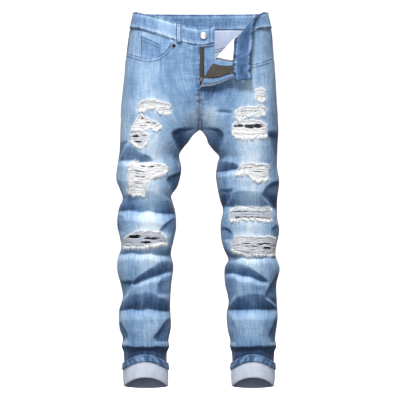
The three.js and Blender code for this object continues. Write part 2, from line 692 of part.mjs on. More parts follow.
const buttonholeCutter = sheet(
  [-0.5, 0, 0.5].map((u) =>
    [-0.5, 0.5].map((v) => (out) => {
      const wide = u === 0 ? BUTTONHOLE.wide : 0.8;
      return turned(BUTTONHOLE.x + u * BUTTONHOLE.long, BUTTONHOLE.z + v * wide, out);
    }),
  ),
  { out: 3, thick: 8 },
);
add("waistband", cut(waistband(), [buttonholeCutter]), MATERIALS.washed_denim);

// ---- front pockets
const FACING_FOOT = -150;
const BAG_FOOT = (x) => -238 + 26 * ((Math.abs(x) - 96) / 56) ** 2;
const facingShares = FRONT_SHARES.slice(0, 6);
const facingColumn = (side, steps) => (share) => {
  const top = meets(side, "front", share, overSeam);
  return spread(top, FACING_FOOT, steps).map((z) => panelPlace(side, "front", share, z));
};
add("pocket_facing_right",
  sheet([...FRONT_SHARES.slice(0, 8), 0.83].map(facingColumn("right", 4)), LAYER.facing),
  MATERIALS.washed_denim);
add("pocket_facing_left",
  sheet([
    ...facingShares.map((share) => {
      const top = meets("left", "front", share, overSeam);
      return rowsBelow(top, FACING_FOOT, 8, 3).map((z) => panelPlace("left", "front", share, z));
    }),
    ...[104, 95, 87, 80, 72, 63].map((x) =>
      rowsAcrossFold(x, overSeam(x), FACING_FOOT, 8, 3).map((z) => (out) => turned(x, z, out)),
    ),
  ], LAYER.facing),
  MATERIALS.washed_denim);
const coinXs = [-147, -144, -140, -132, -122, -110, -98];
add("coin_pocket",
  patch("front", coinXs, (x) => -57 - 0.455 * (152 + x), () => -134, 3, LAYER.coin),
  MATERIALS.washed_denim);
add("pocket_bag_right",
  patch("front", [-42, -58, -76, -96, -116, -134, -152], overSeam, BAG_FOOT, 5, LAYER.bag),
  MATERIALS.pocket_cloth);
add("pocket_bag_left",
  cornerPatch([42, 54, 63, 72, 80, 87, 95, 104, 118, 130, 142, 152], overSeam, BAG_FOOT, 8, 4, LAYER.bag),
  MATERIALS.pocket_cloth);

// ---- the open fly
add("fly_facing_left",
  cornerPatch([3, 12.6, 25, 31, 39], overSeam, (x) => -202 + 26 * (x / 40) ** 2, 8, 2, LAYER.flyFacing),
  MATERIALS.washed_denim);
const SHIELD_FOOT = (x) => -186 + 30 * (Math.max(x, 0) / 36) ** 2;
add("fly_shield_right",
  patch("front", [-18, -7, 4, 15, 26, UNDERLAP_X], overSeam, SHIELD_FOOT, 5, LAYER.shield),
  MATERIALS.washed_denim);
add("zip_tape_left",
  cornerPatch([12.6, 25, 31], overSeam, () => -190, 8, 2, LAYER.tape),
  MATERIALS.zip_tape_cloth);
add("zip_tape_right",
  patch("front", [-8, 0, 9], () => -90, () => -186, 5, LAYER.tape),
  MATERIALS.zip_tape_cloth);
const sliderAt = onFace("front", 3.7, -169, -1.9);
const sliderBox = new THREE.BoxGeometry(6.4, 3, 11).translate(sliderAt.x, sliderAt.y, sliderAt.z);
add("zip_slider", sliderBox, MATERIALS.zip_metal);

// ---- belt loops
const loopOn = (face, x) => (w, z, out) => onFace(face, x + w, z, out);
const loopTurned = (w, z, out) => turned(52 + w, z, out);
add("belt_loop_front_right", beltLoop(loopOn("front", -52), -31, -80), MATERIALS.washed_denim);
add("belt_loop_front_left", beltLoop(loopTurned, -31, -76.5), MATERIALS.washed_denim);
add("belt_loop_back_right", beltLoop(loopOn("back", -100), -3, -46), MATERIALS.washed_denim);
add("belt_loop_back_middle", beltLoop(loopOn("back", 0), -3, -46), MATERIALS.washed_denim);
add("belt_loop_back_left", beltLoop(loopOn("back", 100), -3, -46), MATERIALS.washed_denim);

// ---- metal
const buttonAt = (out) => onFace("front", BUTTON.x, BUTTON.z, out);
const rivetAt = (out) => onFace("front", -64, -86, out);
add("button", stud(buttonAt, 1.1, BUTTON_PROFILE), MATERIALS.button_metal);
add("pocket_rivet", stud(rivetAt, 0.35, RIVET_PROFILE), MATERIALS.rivet_metal);

export default jeans;
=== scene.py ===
"""Ripped jeans, filled out as if worn, the fly open and its left corner turned back.

Shapes are worked out in millimetres. Right and left are the wearer's: the right leg is at -X, the left at +X.
The front faces -Y.
"""

import math

import bpy
import numpy as np
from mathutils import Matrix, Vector


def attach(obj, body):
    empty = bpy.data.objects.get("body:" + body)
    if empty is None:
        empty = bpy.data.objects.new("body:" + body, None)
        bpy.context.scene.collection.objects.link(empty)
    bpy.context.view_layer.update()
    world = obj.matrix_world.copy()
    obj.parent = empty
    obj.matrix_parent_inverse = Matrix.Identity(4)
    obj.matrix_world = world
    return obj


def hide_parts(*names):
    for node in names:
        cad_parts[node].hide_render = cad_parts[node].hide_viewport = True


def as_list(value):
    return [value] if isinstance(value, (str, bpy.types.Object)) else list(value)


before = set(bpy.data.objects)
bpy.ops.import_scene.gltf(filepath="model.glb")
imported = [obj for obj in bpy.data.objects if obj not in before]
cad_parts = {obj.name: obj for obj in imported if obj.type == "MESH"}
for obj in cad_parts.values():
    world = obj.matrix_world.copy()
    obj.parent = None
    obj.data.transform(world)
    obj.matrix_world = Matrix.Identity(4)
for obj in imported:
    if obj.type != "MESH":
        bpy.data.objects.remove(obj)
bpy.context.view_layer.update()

MM = 0.001
PI = math.pi
SIGN = {"right": -1, "left": 1}
FACE = {"front": -1, "back": 1}

# ------------------------------------------------------------------ sizes
CLOTH = 1.4
CROTCH_Z = -292
# The height over which the legs merge above the crotch, and how sharply.
CROTCH_ROUND = 230
CROTCH_POWER = 1.9
# The puckered seat seam.
SEAT_TOP = -190
SEAT_FOOT = -300
# The waistband's two ends.
UNDERLAP_X = 36
OVERLAP_X = -6
BAND_HEIGHT = 44
HEM_BAND = 18
CUFF_TOP = -870
CUFF_FOLD = -929
CUFF_GIRTH = 380
# The crease across each leg above its cuff.
CREASE_Z = -828
PANEL_GIRTH = 215
# The middle of a pocket, and the buttonhole.
POCKET_X = 96
HOLE_X, HOLE_Z, HOLE_HALF_LENGTH, HOLE_HALF_HEIGHT = 15, -64, 7, 1.9
# Farther than any rip reaches, and how pale a cut edge is.
FAR = 99.0
EDGE_TONE = 0.6


# ------------------------------------------------------------------ smooth curves through given points
def curve(*points):
    xs, ys = (np.array(v, float) for v in zip(*sorted(points)))
    lo = np.maximum(np.arange(len(xs)) - 1, 0)
    hi = np.minimum(np.arange(len(xs)) + 1, len(xs) - 1)
    slopes = (ys[hi] - ys[lo]) / (xs[hi] - xs[lo])

    def at(x):
        x = np.clip(np.asarray(x, float), xs[0], xs[-1])
        i = np.clip(np.searchsorted(xs, x, side="right") - 1, 0, len(xs) - 2)
        w = xs[i + 1] - xs[i]
        t = (x - xs[i]) / w
        return (
            (2 * t**3 - 3 * t**2 + 1) * ys[i]
            + (t**3 - 2 * t**2 + t) * w * slopes[i]
            + (3 * t**2 - 2 * t**3) * ys[i + 1]
            + (t**3 - t**2) * w * slopes[i + 1]
        )

    return at


OUTER = {
    "right": curve(
        (0, 165), (-45, 175), (-105, 183), (-165, 188), (-230, 195), (-290, 198), (-345, 200), (-385, 206),
        (-415, 208), (-440, 199), (-463, 192), (-485, 201), (-525, 206), (-560, 199), (-583, 196),
        (-615, 205), (-645, 205), (-675, 197), (-707, 192), (-740, 201), (-785, 200), (-810, 192),
        (-830, 195), (-845, 190), (-940, 188),
    ),
    "left": curve(
        (0, 168), (-45, 178), (-105, 183), (-165, 187), (-230, 191), (-290, 195), (-330, 193), (-385, 192),
        (-420, 197), (-465, 192), (-510, 192), (-540, 197), (-575, 191), (-600, 187), (-635, 198),
        (-675, 190), (-715, 191), (-760, 193), (-810, 187), (-830, 190), (-845, 185), (-940, 183),
    ),
}
INNER = {
    "right": curve(
        (-292, 0), (-297, 8), (-305, 17), (-320, 28), (-335, 41), (-350, 51), (-362, 52), (-385, 47),
        (-410, 50), (-435, 58), (-455, 72), (-470, 69), (-495, 62), (-535, 60), (-570, 67), (-600, 73),
        (-630, 67), (-675, 72), (-730, 75), (-780, 73), (-815, 79), (-830, 77), (-845, 82), (-940, 80),
    ),
    "left": curve(
        (-292, 0), (-297, 6), (-310, 15), (-325, 21), (-340, 32), (-358, 48), (-375, 44), (-405, 40),
        (-435, 44), (-465, 50), (-492, 58), (-525, 52), (-565, 54), (-590, 61), (-614, 71), (-635, 62),
        (-675, 63), (-700, 69), (-720, 72), (-750, 67), (-790, 70), (-815, 76), (-830, 75), (-845, 79),
        (-940, 80),
    ),
}
DEPTH = {
    "front": curve(
        (0, 74), (-45, 78), (-105, 82), (-200, 86), (-292, 84), (-360, 76), (-450, 66), (-560, 60),
        (-700, 56), (-800, 54), (-940, 53),
    ),
    "back": curve(
        (0, 78), (-45, 82), (-105, 94), (-200, 106), (-292, 97), (-360, 83), (-450, 70), (-560, 57),
        (-700, 58), (-800, 55), (-940, 53),
    ),
}
SEAM_Y = curve((0, 0), (-200, 0), (-292, 6), (-400, 4), (-560, 0), (-760, 6), (-940, 8))
SQUARE = curve((0, 2.4), (-200, 2.4), (-292, 2.2), (-400, 2.1), (-940, 2.1))
FRONT_TOP = curve((0, -43), (20, -40), (62, -28), (100, -16), (150, -4), (165, 0))
FRONT_SEAM = curve((0, -87), (20, -85), (62, -74), (100, -60), (140, -46), (172, -40))
YOKE_SEAM = curve((0, -106), (60, -92), (120, -76), (185, -62))
SCOOP = {
    "right": curve((70, -50), (74, -74), (78, -88), (86, -99), (101, -110), (122, -116), (140, -114),
                   (185, -99)),
    "left": curve((70, -50), (74, -80), (80, -98), (90, -112), (102, -122), (122, -130), (140, -128),
                  (186, -112)),
}
BACK_TOP = -1
BACK_SEAM = -41


def cuff_fold(face, b):
    return CUFF_FOLD + (24 * b**1.6 if face == "front" else -8 * b)


def cuff_top(face, b):
    return CUFF_TOP + (22 * b**2.4 if face == "front" else -8 * b)


# ------------------------------------------------------------------ folds
# A valley: the points (x, z) of its line, its depth, how far it opens above the line at its start, middle and
# end, how far it opens below, and how far its ends fade out.
FOLDS = {
    "front": [
        (((-225, -366), (-170, -371), (-110, -373)), 13, (50, 34, 6), 13, 22),
        (((-225, -493), (-132, -496), (-40, -503)), 17, (26, 54, 18), 26, 10),
        (((-225, -602), (-132, -600), (-40, -606)), 9, (10, 24, 16), 16, 10),
        (((-172, -677), (-122, -658), (-40, -639)), 17, (4, 30, 62), 15, 22),
        (((-225, -742), (-134, -738), (-40, -744)), 17, (16, 44, 12), 26, 10),
        (((34, -248), (88, -253)), 2.5, (8, 8, 8), 8, 18),
        (((24, -400), (60, -397), (104, -391)), 12, (32, 26, 8), 13, 22),
        (((28, -486), (122, -484), (218, -488)), 16, (26, 42, 36), 20, 10),
        (((38, -606), (122, -609), (210, -608)), 8, (16, 18, 10), 16, 12),
        (((30, -647), (110, -655), (172, -671)), 16, (50, 32, 4), 15, 22),
        (((40, -744), (130, -737), (220, -742)), 17, (10, 42, 14), 26, 10),
    ],
    "back": [
        (((-192, -296), (-110, -318), (-34, -330)), 6, (26, 34, 10), 30, 26),
        (((30, -326), (110, -314), (188, -294)), 6, (10, 34, 26), 30, 26),
        (((-210, -452), (-150, -468), (-84, -474)), 9, (16, 30, 20), 22, 26),
        (((66, -478), (138, -464), (200, -450)), 9, (18, 32, 14), 22, 26),
        (((-170, -522), (-110, -514), (-50, -526)), 7, (12, 24, 30), 18, 24),
        (((46, -520), (104, -512), (160, -528)), 7, (28, 22, 10), 18, 24),
        (((-208, -566), (-140, -580), (-76, -572)), 10, (30, 34, 12), 20, 24),
        (((60, -590), (128, -576), (198, -560)), 10, (12, 34, 28), 20, 24),
        (((-160, -640), (-112, -632), (-66, -646)), 5, (10, 20, 22), 18, 24),
        (((92, -650), (140, -636), (196, -628)), 5, (20, 22, 14), 18, 24),
        (((-206, -700), (-150, -712), (-84, -720)), 9, (26, 30, 10), 20, 24),
        (((66, -704), (124, -718), (182, -712)), 9, (12, 32, 24), 20, 24),
        (((-204, -782), (-134, -774), (-90, -780)), 6, (14, 26, 16), 18, 22),
        (((78, -786), (130, -776), (196, -784)), 6, (20, 26, 12), 18, 22),
    ],
}
# A dent beside a ridge: the ridge's points (z, x), the side it lies on, its depth, how fast it drops, how far
# it reaches, and how far it fades out at its top and at its foot.
DENTS = {
    "front": [
        (((-289, -40), (-296, -64), (-307, -70), (-326, -65), (-344, -56), (-362, -50)), 1, 24, 9, 46, 5, 12),
        (((-388, -38), (-399, -52), (-408, -76), (-419, -83), (-438, -76), (-468, -68)), 1, 14, 8, 60, 9, 16),
        (((-506, -58), (-525, -86), (-543, -101), (-562, -104)), 1, 10, 8, 60, 9, 20),
        (((-503, -190), (-522, -184), (-552, -184)), -1, 8, 6, 40, 8, 10),
        (((-650, -92), (-680, -105), (-708, -108)), 1, 8, 7, 60, 10, 12),
        (((-664, -163), (-692, -174), (-716, -191)), -1, 10, 6, 50, 10, 8),
        (((-756, -80), (-785, -99), (-806, -115), (-822, -112)), 1, 12, 9, 60, 12, 7),
        (((-764, -198), (-804, -178), (-822, -186)), -1, 11, 7, 40, 14, 7),
        (((-318, -172), (-341, -187), (-366, -199)), -1, 7, 5, 30, 12, 6),
        (((-288, 34), (-296, 52), (-304, 58), (-316, 60), (-335, 55), (-362, 47)), -1, 13, 8, 42, 5, 12),
        (((-292, 156), (-313, 164), (-350, 179), (-398, 194)), 1, 14, 8, 60, 22, 8),
        (((-418, 186), (-434, 164), (-456, 154), (-473, 166), (-489, 178), (-508, 192)), 1, 12, 8, 60, 12, 8),
        (((-436, 84), (-465, 76), (-486, 64), (-504, 56)), -1, 8, 7, 50, 12, 8),
        (((-532, 62), (-546, 79), (-572, 81)), -1, 8, 6, 40, 8, 10),
        (((-526, 190), (-540, 177), (-566, 181)), 1, 8, 6, 40, 8, 10),
        (((-652, 92), (-690, 92), (-704, 89), (-727, 74)), -1, 9, 7, 50, 12, 8),
        (((-648, 190), (-664, 181), (-704, 160), (-718, 174), (-733, 192)), 1, 12, 7, 60, 12, 8),
        (((-746, 192), (-780, 178), (-802, 169), (-824, 173)), 1, 12, 7, 50, 12, 7),
        (((-744, 72), (-780, 88), (-824, 89)), -1, 7, 6, 40, 16, 7),
    ],
    "back": [
        (((-292, -40), (-307, -62), (-340, -56), (-362, -50)), 1, 12, 9, 90, 10, 12),
        (((-292, 40), (-307, 60), (-340, 54), (-362, 48)), -1, 12, 9, 90, 10, 12),
        (((-560, -100), (-585, -118), (-606, -104)), 1, 9, 8, 60, 10, 10),
        (((-560, 100), (-585, 118), (-606, 104)), -1, 9, 8, 60, 10, 10),
        (((-716, -186), (-745, -172), (-765, -188)), -1, 9, 7, 40, 10, 10),
        (((-716, 180), (-745, 168), (-765, 184)), 1, 9, 7, 40, 10, 10),
    ],
}


def opened(heights, start, end):
    first, middle, last = heights
    return curve((start, first), ((start + end) / 2, middle), (end, last))


for face, folds in FOLDS.items():
    FOLDS[face] = [
        (curve(*line), line[0][0], line[-1][0], deep, opened(up, line[0][0], line[-1][0]), down, taper)
        for line, deep, up, down, taper in folds
    ]
    DENTS[face] = [(curve(*ridge), ridge[-1][0], ridge[0][0], *rest) for ridge, *rest in DENTS[face]]


def smooth(t):
    t = np.clip(t, 0, 1)
    return t * t * (3 - 2 * t)


def dent_depth(face, x, z):
    total = np.zeros(x.shape)
    low, high = z.min(initial=0), z.max(initial=-999)
    for ridge, foot, top, side, deep, steep, reach, top_fade, foot_fade in DENTS[face]:
        if foot > high or top < low:
            continue
        beyond = np.clip(side * (x - ridge(z)), 0, reach)
        ends = smooth((top - z) / top_fade) * smooth((z - foot) / foot_fade)
        total += deep * (1 - np.exp(-beyond / steep)) * (1 - beyond / reach) * ends
    return total


def fold_depth(face, x, z):
    """How far the folds push the cloth in."""
    x, z = np.broadcast_arrays(x, z)
    total = dent_depth(face, x, z)
    low, high = z.min(initial=0), z.max(initial=-999)
    for height, start, end, deep, up, down, taper in FOLDS[face]:
        if height(start) - 50 > high or height(start) + 70 < low:
            continue
        above = z - height(x) - 2.2 * noise(x / 21, x * 0 + start, 11)
        across = np.where(above >= 0, above / up(x), -above / down)
        power = np.where(above >= 0, 1.2, 1.8)
        inside = np.minimum(x - start, end - x)
        total += deep * np.clip(1 - across, 0, 1) ** power * smooth(inside / taper)
    seam = 2.5 * np.exp(-np.abs(x) / 3.5) * smooth((SEAT_TOP - z) / 30) * smooth((z - SEAT_FOOT) / 12)
    # The legs' ends are drawn in under the last crease, above the cuffs.
    crease = CREASE_Z - 2 * noise(x / 18, x * 0, 9)
    ends = 7 * smooth((crease - z) / 7) * smooth((z + 900) / 26)
    return total + seam + ends


# ------------------------------------------------------------------ soft noise, the same on every run
def noise(u, v, seed):
    """Value noise from -1 to 1, one bump per unit."""
    iu, iv = np.floor(u), np.floor(v)
    fu, fv = smooth(u - iu), smooth(v - iv)

    def corner(a, b):
        h = np.sin(a * 127.1 + b * 311.7 + seed * 74.7) * 43758.5453
        return 2 * (h - np.floor(h)) - 1

    low = corner(iu, iv) * (1 - fu) + corner(iu + 1, iv) * fu
    high = corner(iu, iv + 1) * (1 - fu) + corner(iu + 1, iv + 1) * fu
    return low * (1 - fv) + high * fv


def crumple(face, x, z):
    """Small wrinkles: across the lower legs, fanning from the crotch and round the top of the thighs."""
    low = smooth((-300 - z) / 120) * smooth((z + 850) / 20)
    s = 1 if face == "front" else 2
    legs = 1.1 * noise(x / 70, z / 24, s) + 0.7 * noise(x / 34 + z / 60, z / 13, s + 3)
    fan = 0.7 * noise((np.abs(x) * 0.5 + z) / 24, (np.abs(x) - z * 0.5) / 80, s + 7)
    return legs * low + fan * (1 - low) * smooth((-150 - z) / 80) * smooth((z + 850) / 20)


# ------------------------------------------------------------------ the garment's surface
def section(side, z):
    outer = OUTER[side](z)
    inner = INNER[side](z)
    merge = (1 - np.clip((z - CROTCH_Z) / CROTCH_ROUND, 0, 1)) ** CROTCH_POWER
    joined = z > CROTCH_Z
    half = np.where(joined, outer / (1 + merge), (outer - inner) / 2)
    centre = np.where(joined, merge * half, (outer + inner) / 2)
    square = SQUARE(z)
    last = np.where(joined, np.arccos(-(np.where(joined, merge, 1) ** (square / 2))), PI)
    return centre, half, square, last


def at_angle(side, face, angle, z, folds=True):
    centre, half, square, _ = section(side, z)
    c = np.cos(angle)
    x = SIGN[side] * (centre + half * np.sign(c) * np.abs(c) ** (2 / square))
    bulge = np.abs(np.sin(angle)) ** (2 / square)
    depth = DEPTH[face](z) * bulge
    if folds:
        pushed = fold_depth(face, x, z) + crumple(face, x, z) * smooth(bulge)
        depth = depth - pushed * np.minimum(1, 1.4 * bulge)
    y = SEAM_Y(z) + FACE[face] * depth
    return np.stack(np.broadcast_arrays(x, y, z), -1)


def unit(v):
    return v / np.maximum(np.linalg.norm(v, axis=-1, keepdims=True), 1e-9)


def normal_at(side, face, angle, z, folds=True):
    angle, z = np.broadcast_arrays(np.asarray(angle, float), np.asarray(z, float))
    high, low = np.minimum(angle + 0.02, PI), np.maximum(angle - 0.02, 0)
    around = at_angle(side, face, high, z, folds) - at_angle(side, face, low, z, folds)
    up = at_angle(side, face, angle, z + 1, folds) - at_angle(side, face, angle, z - 1, folds)
    n = np.cross(around, up)
    away = np.stack([SIGN[side] * np.cos(angle), FACE[face] * np.sin(angle), 0 * z], -1)
    n = np.where((n * away).sum(-1, keepdims=True) < 0, -n, n)
    x = np.abs(at_angle(side, face, angle, z, folds)[..., 0])
    n[..., 0] *= np.where(z > CROTCH_Z, smooth(x / 14), 1)
    n[..., 1] = np.where((angle < 0.004) | (angle > PI - 0.004), 0, n[..., 1])
    return unit(n)


def on_section(side, face, angle, z, out, folds=True):
    normal = normal_at(side, face, angle, z, folds)
    return at_angle(side, face, angle, z, folds) + normal * np.asarray(out)[..., None]


def angle_of(side, x, z):
    centre, half, square, _ = section(side, z)
    c = np.clip((x * SIGN[side] - centre) / half, -1, 1)
    return np.arccos(np.sign(c) * np.abs(c) ** (square / 2))


def on_face(face, x, z, out, folds=True):
    x, z, out = np.broadcast_arrays(np.asarray(x, float), np.asarray(z, float), np.asarray(out, float))
    right = on_section("right", face, angle_of("right", x, z), z, out, folds)
    left = on_section("left", face, angle_of("left", x, z), z, out, folds)
    return np.where((x < 0)[..., None], right, left)


# ------------------------------------------------------------------ the turned-back corner
# A point on the fold, the fold's direction, how far the corner is drawn out past it, and how it rises off the
# front.
FOLD_X, FOLD_Z, FOLD_U, FOLD_V = 51.5, -115.5, 0.6525, 0.758
FOLD_STRETCH, FOLD_RISE = 1.2, 0.1
# The roll's radius and the line of its crest, along the fold.
ROLL = curve((-100, 2.5), (-60, 4.5), (-20, 6), (60, 6), (150, 5))
CREST = curve((-100, -10), (-88, -8), (-48, 0), (-12, 5), (60, 4), (140, 3))
# How far the corner sags past the fold, and how much less the waistband is drawn out than the cloth below it.
SAG = curve((0, 0), (8, 3), (30, 13), (62, 9))
BAND_EASE = 0.2


def along_fold(x, z):
    return (x - FOLD_X) * FOLD_U + (z - FOLD_Z) * FOLD_V


def past_fold(x, z):
    along = along_fold(x, z)
    across = -(x - FOLD_X) * FOLD_V + (z - FOLD_Z) * FOLD_U
    return across - (CREST(along) - ROLL(along) - CLOTH)


def turned(x, z, out):
    """Where a place on the closed front goes when the corner is turned back."""
    x, z, out = np.broadcast_arrays(np.asarray(x, float), np.asarray(z, float), np.asarray(out, float))
    over_band = np.maximum(0, z - FRONT_SEAM(np.abs(x)))
    bent = past_fold(x, z) > 0
    z = z - BAND_EASE * over_band * np.clip(past_fold(x, z) / 20, 0, 1)
    past = np.where(bent, np.maximum(past_fold(x, z), 0), -1)
    along = along_fold(x, z)
    radius = ROLL(along)
    turn = np.clip(past / radius, 0, PI)
    beyond = np.maximum(0, past - PI * radius)
    across = CREST(along) - radius - CLOTH + (radius - out) * np.sin(turn) - FOLD_STRETCH * beyond
    ripple = 1.2 * noise(x / 26, z / 30, 21) * smooth(beyond / 20)
    lift = radius - (radius - out) * np.cos(turn) + FOLD_RISE * beyond + ripple
    at_x = FOLD_X + along * FOLD_U - across * FOLD_V
    at_z = FOLD_Z + along * FOLD_V + across * FOLD_U - SAG(past)
    return np.where((past >= 0)[..., None], on_face("front", at_x, at_z, lift), on_face("front", x, z, out))


# ------------------------------------------------------------------ meshes
TAG = "_cloth"


def link(name, mesh):
    """Puts a mesh in the scene, smooth and on the garment's one body."""
    mesh.polygons.foreach_set("use_smooth", np.ones(len(mesh.polygons), bool))
    mesh.update()
    obj = bpy.data.objects.new(name, mesh)
    bpy.context.scene.collection.objects.link(obj)
    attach(obj, "root")
    return obj


def set_values(mesh, key, values):
    mesh.attributes.new(key, "FLOAT", "POINT").data.foreach_set("value", np.asarray(values, np.float32))


def build(name, points, faces, materials, face_material, uv, attributes):
    mesh = bpy.data.meshes.new(name)
    mesh.from_pydata((np.asarray(points) * MM).tolist(), [], np.asarray(faces).tolist())
    for m in materials:
        mesh.materials.append(m)
    mesh.polygons.foreach_set("material_index", np.asarray(face_material, np.int32))
    loops = np.empty(len(mesh.loops), np.int32)
    mesh.loops.foreach_get("vertex_index", loops)
    mesh.uv_layers.new(name="cloth").data.foreach_set("uv", np.asarray(uv, np.float32)[loops].ravel())
    for key, values in attributes.items():
        set_values(mesh, key, values)
    return link(name, mesh)


def shell(node, place, u, v, layer, materials, attributes, keep=None, ring=False):
    """A cloth wall on a grid: place(out) gives every point at that distance out.

    Rows run down and columns across. layer is how far out the right side lies and the wall's thickness.
    materials are for the right side, the wrong side and the cut edges. u and v are the cloth's own mm.
    """
    out, thick = layer
    top, low = place(np.asarray(out, float)), place(np.asarray(out - thick, float))
    rows, cols = top.shape[:2]
    ids = np.arange(rows * cols).reshape(rows, cols)
    left = ids if ring else ids[:, :-1]
    right = np.roll(ids, -1, 1) if ring else ids[:, 1:]
    a, b, c, d = left[:-1], left[1:], right[1:], right[:-1]
    keep = np.ones(a.shape, bool) if keep is None else keep
    n = rows * cols
    wide = np.pad(keep, ((1, 1), (0, 0)))
    wide = np.pad(wide, ((0, 0), (1, 1)), mode="wrap") if ring else np.pad(wide, ((0, 0), (1, 1)))
    beside = [(a, b, wide[1:-1, :-2]), (b, c, wide[2:, 1:-1]), (c, d, wide[1:-1, 2:]),
              (d, a, wide[:-2, 1:-1])]
    rim = []
    for p, q, neighbour in beside:
        edge = keep & ~neighbour
        rim.append(np.stack([q[edge], p[edge], p[edge] + n, q[edge] + n], -1))
    rim = np.concatenate(rim)
    quads = np.stack([a, b, c, d], -1)[keep]
    faces = np.concatenate([quads, quads[:, ::-1] + n, rim])
    kinds = np.repeat([0, 1, 2], [len(quads), len(quads), len(rim)])
    points = np.concatenate([top.reshape(-1, 3), low.reshape(-1, 3)])
    first = quads[len(quads) // 2]
    facing = np.cross(points[first[1]] - points[first[0]], points[first[3]] - points[first[0]])
    if facing @ (points[first[0]] - points[first[0] + n]) < 0:
        faces = faces[:, ::-1]
    used, index = np.unique(faces, return_inverse=True)
    faces = index.reshape(faces.shape)
    coords = np.stack(np.broadcast_arrays(u, v), -1).reshape(-1, 2) * MM
    coords = np.concatenate([coords, coords])[used]
    grids = {k: np.broadcast_to(g, (rows, cols)).ravel() for k, g in attributes.items()}
    values = {k: np.concatenate([g, g])[used] for k, g in grids.items()}
    obj = build(node + TAG, points[used], faces, materials, kinds, coords, values)
    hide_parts(node)
    return obj


class Bits:
    """Many small threads or stitches, gathered into one mesh."""

    def __init__(self):
        self.groups = {}

    def tube(self, coords, radius, tone=0.5, sides=4, place=None):
        """A tube along points, or along coordinates that `place` turns into points when all are gathered."""
        coords = np.stack([np.asarray(c, float) for c in coords], -1) if place else np.asarray(coords, float)
        wide = np.broadcast_to(np.asarray(radius, float), len(coords))
        self.groups.setdefault((place, len(coords), sides), []).append((coords, wide, tone))

    def finish(self, name, material, slot):
        points, faces, tones, base = [], [], [], 0
        for (place, k, sides), items in self.groups.items():
            path = np.stack([item[0] for item in items])
            if place:
                path = place(*np.moveaxis(path, -1, 0))
            wide = np.stack([item[1] for item in items])[:, :, None, None]
            along = unit(np.gradient(path, axis=1))
            side = unit(np.cross(along, (0.13, -1, 0.21)))
            other = np.cross(along, side)
            turn = np.arange(sides) * 2 * PI / sides
            spoke = np.cos(turn)[:, None] * side[:, :, None] + np.sin(turn)[:, None] * other[:, :, None]
            n = len(items)
            ids = base + np.arange(n * k * sides).reshape(n, k, sides)
            after = np.roll(ids, -1, 2)
            walls = np.stack([ids[:, :-1], after[:, :-1], after[:, 1:], ids[:, 1:]], -1)
            faces += walls.reshape(-1, 4).tolist()
            faces += ids[:, 0, ::-1].tolist() + ids[:, -1].tolist()
            points.append((path[:, :, None] + spoke * wide).reshape(-1, 3))
            tones.append(np.repeat([item[2] for item in items], k * sides))
            base += n * k * sides
        mesh = bpy.data.meshes.new(name)
        mesh.from_pydata((np.concatenate(points) * MM).tolist(), [], faces)
        mesh.materials.append(material)
        set_values(mesh, "tone", np.concatenate(tones))
        obj = link(name, mesh)
        return obj


# ------------------------------------------------------------------ materials
class Shade:
    """A material made of nodes. Inputs are set by name; a socket given as a value is linked."""

    def __init__(self, name):
        self.material = bpy.data.materials.new(name)
        self.material.use_nodes = True
        self.tree = self.material.node_tree
        self.tree.nodes.clear()

    def node(self, kind, inputs=None, out=0, **settings):
        n = self.tree.nodes.new("ShaderNode" + kind)
        for key, value in settings.items():
            setattr(n, key, value)
        for key, value in (inputs or {}).items():
            if isinstance(value, bpy.types.NodeSocket):
                self.tree.links.new(value, n.inputs[key])
            else:
                n.inputs[key].default_value = value
        return n.outputs[out] if len(n.outputs) else None

    def math(self, operation, a, b=0.0, clamp=False):
        return self.node("Math", {0: a, 1: b}, operation=operation, use_clamp=clamp)

    def vary(self, base, noise, share, clamp=False):
        """Adds a noise's swing about its middle, times a share."""
        return self.math("ADD", base, self.math("MULTIPLY", self.math("SUBTRACT", noise, 0.5), share), clamp)

    def attribute(self, name):
        return self.node("Attribute", out="Fac", attribute_name=name)

    def cloth(self, scale):
        """The cloth's own place, divided by `scale` millimetres each way."""
        uv = self.node("UVMap", uv_map="cloth")
        return self.node("VectorMath", {0: uv, 1: (1000 / scale[0], 1000 / scale[1], 0)},
                         operation="MULTIPLY")

    def noise(self, scale, detail=2.0, rough=0.5):
        return self.node("TexNoise", {"Vector": self.cloth(scale), "Scale": 1, "Detail": detail,
                                      "Roughness": rough})

    def ramp(self, at, stops):
        n = self.tree.nodes.new("ShaderNodeValToRGB")
        while len(n.color_ramp.elements) < len(stops):
            n.color_ramp.elements.new(0.5)
        for element, (where, color) in zip(n.color_ramp.elements, stops):
            element.position = where
            element.color = (*color, 1)
        self.tree.links.new(at, n.inputs[0])
        return n.outputs[0]

    def mix(self, share, a, b, blend="MIX"):
        n = self.tree.nodes.new("ShaderNodeMix")
        n.data_type, n.blend_type = "RGBA", blend
        for i, value in ((0, share), (6, a), (7, b)):
            if isinstance(value, bpy.types.NodeSocket):
                self.tree.links.new(value, n.inputs[i])
            else:
                n.inputs[i].default_value = (*value, 1) if isinstance(value, tuple) else value
        return n.outputs[2]

    def finish(self, color, rough, height=None, depth=0.0003, metal=0.0, specular=0.2, sheen=0.0):
        inputs = {"Base Color": color, "Roughness": rough, "Metallic": metal, "Specular IOR Level": specular}
        if sheen:
            inputs.update({"Sheen Weight": sheen, "Sheen Roughness": 0.5})
        if height is not None:
            inputs["Normal"] = self.node("Bump", {"Strength": 1.0, "Distance": depth, "Height": height})
        shader = self.node("BsdfPrincipled", inputs)
        self.node("OutputMaterial", {"Surface": shader})
        return self.material


WORN_WEFT = (0.90, 0.91, 0.92)
LEG_SHADOW = (0.02, 0.024, 0.036)


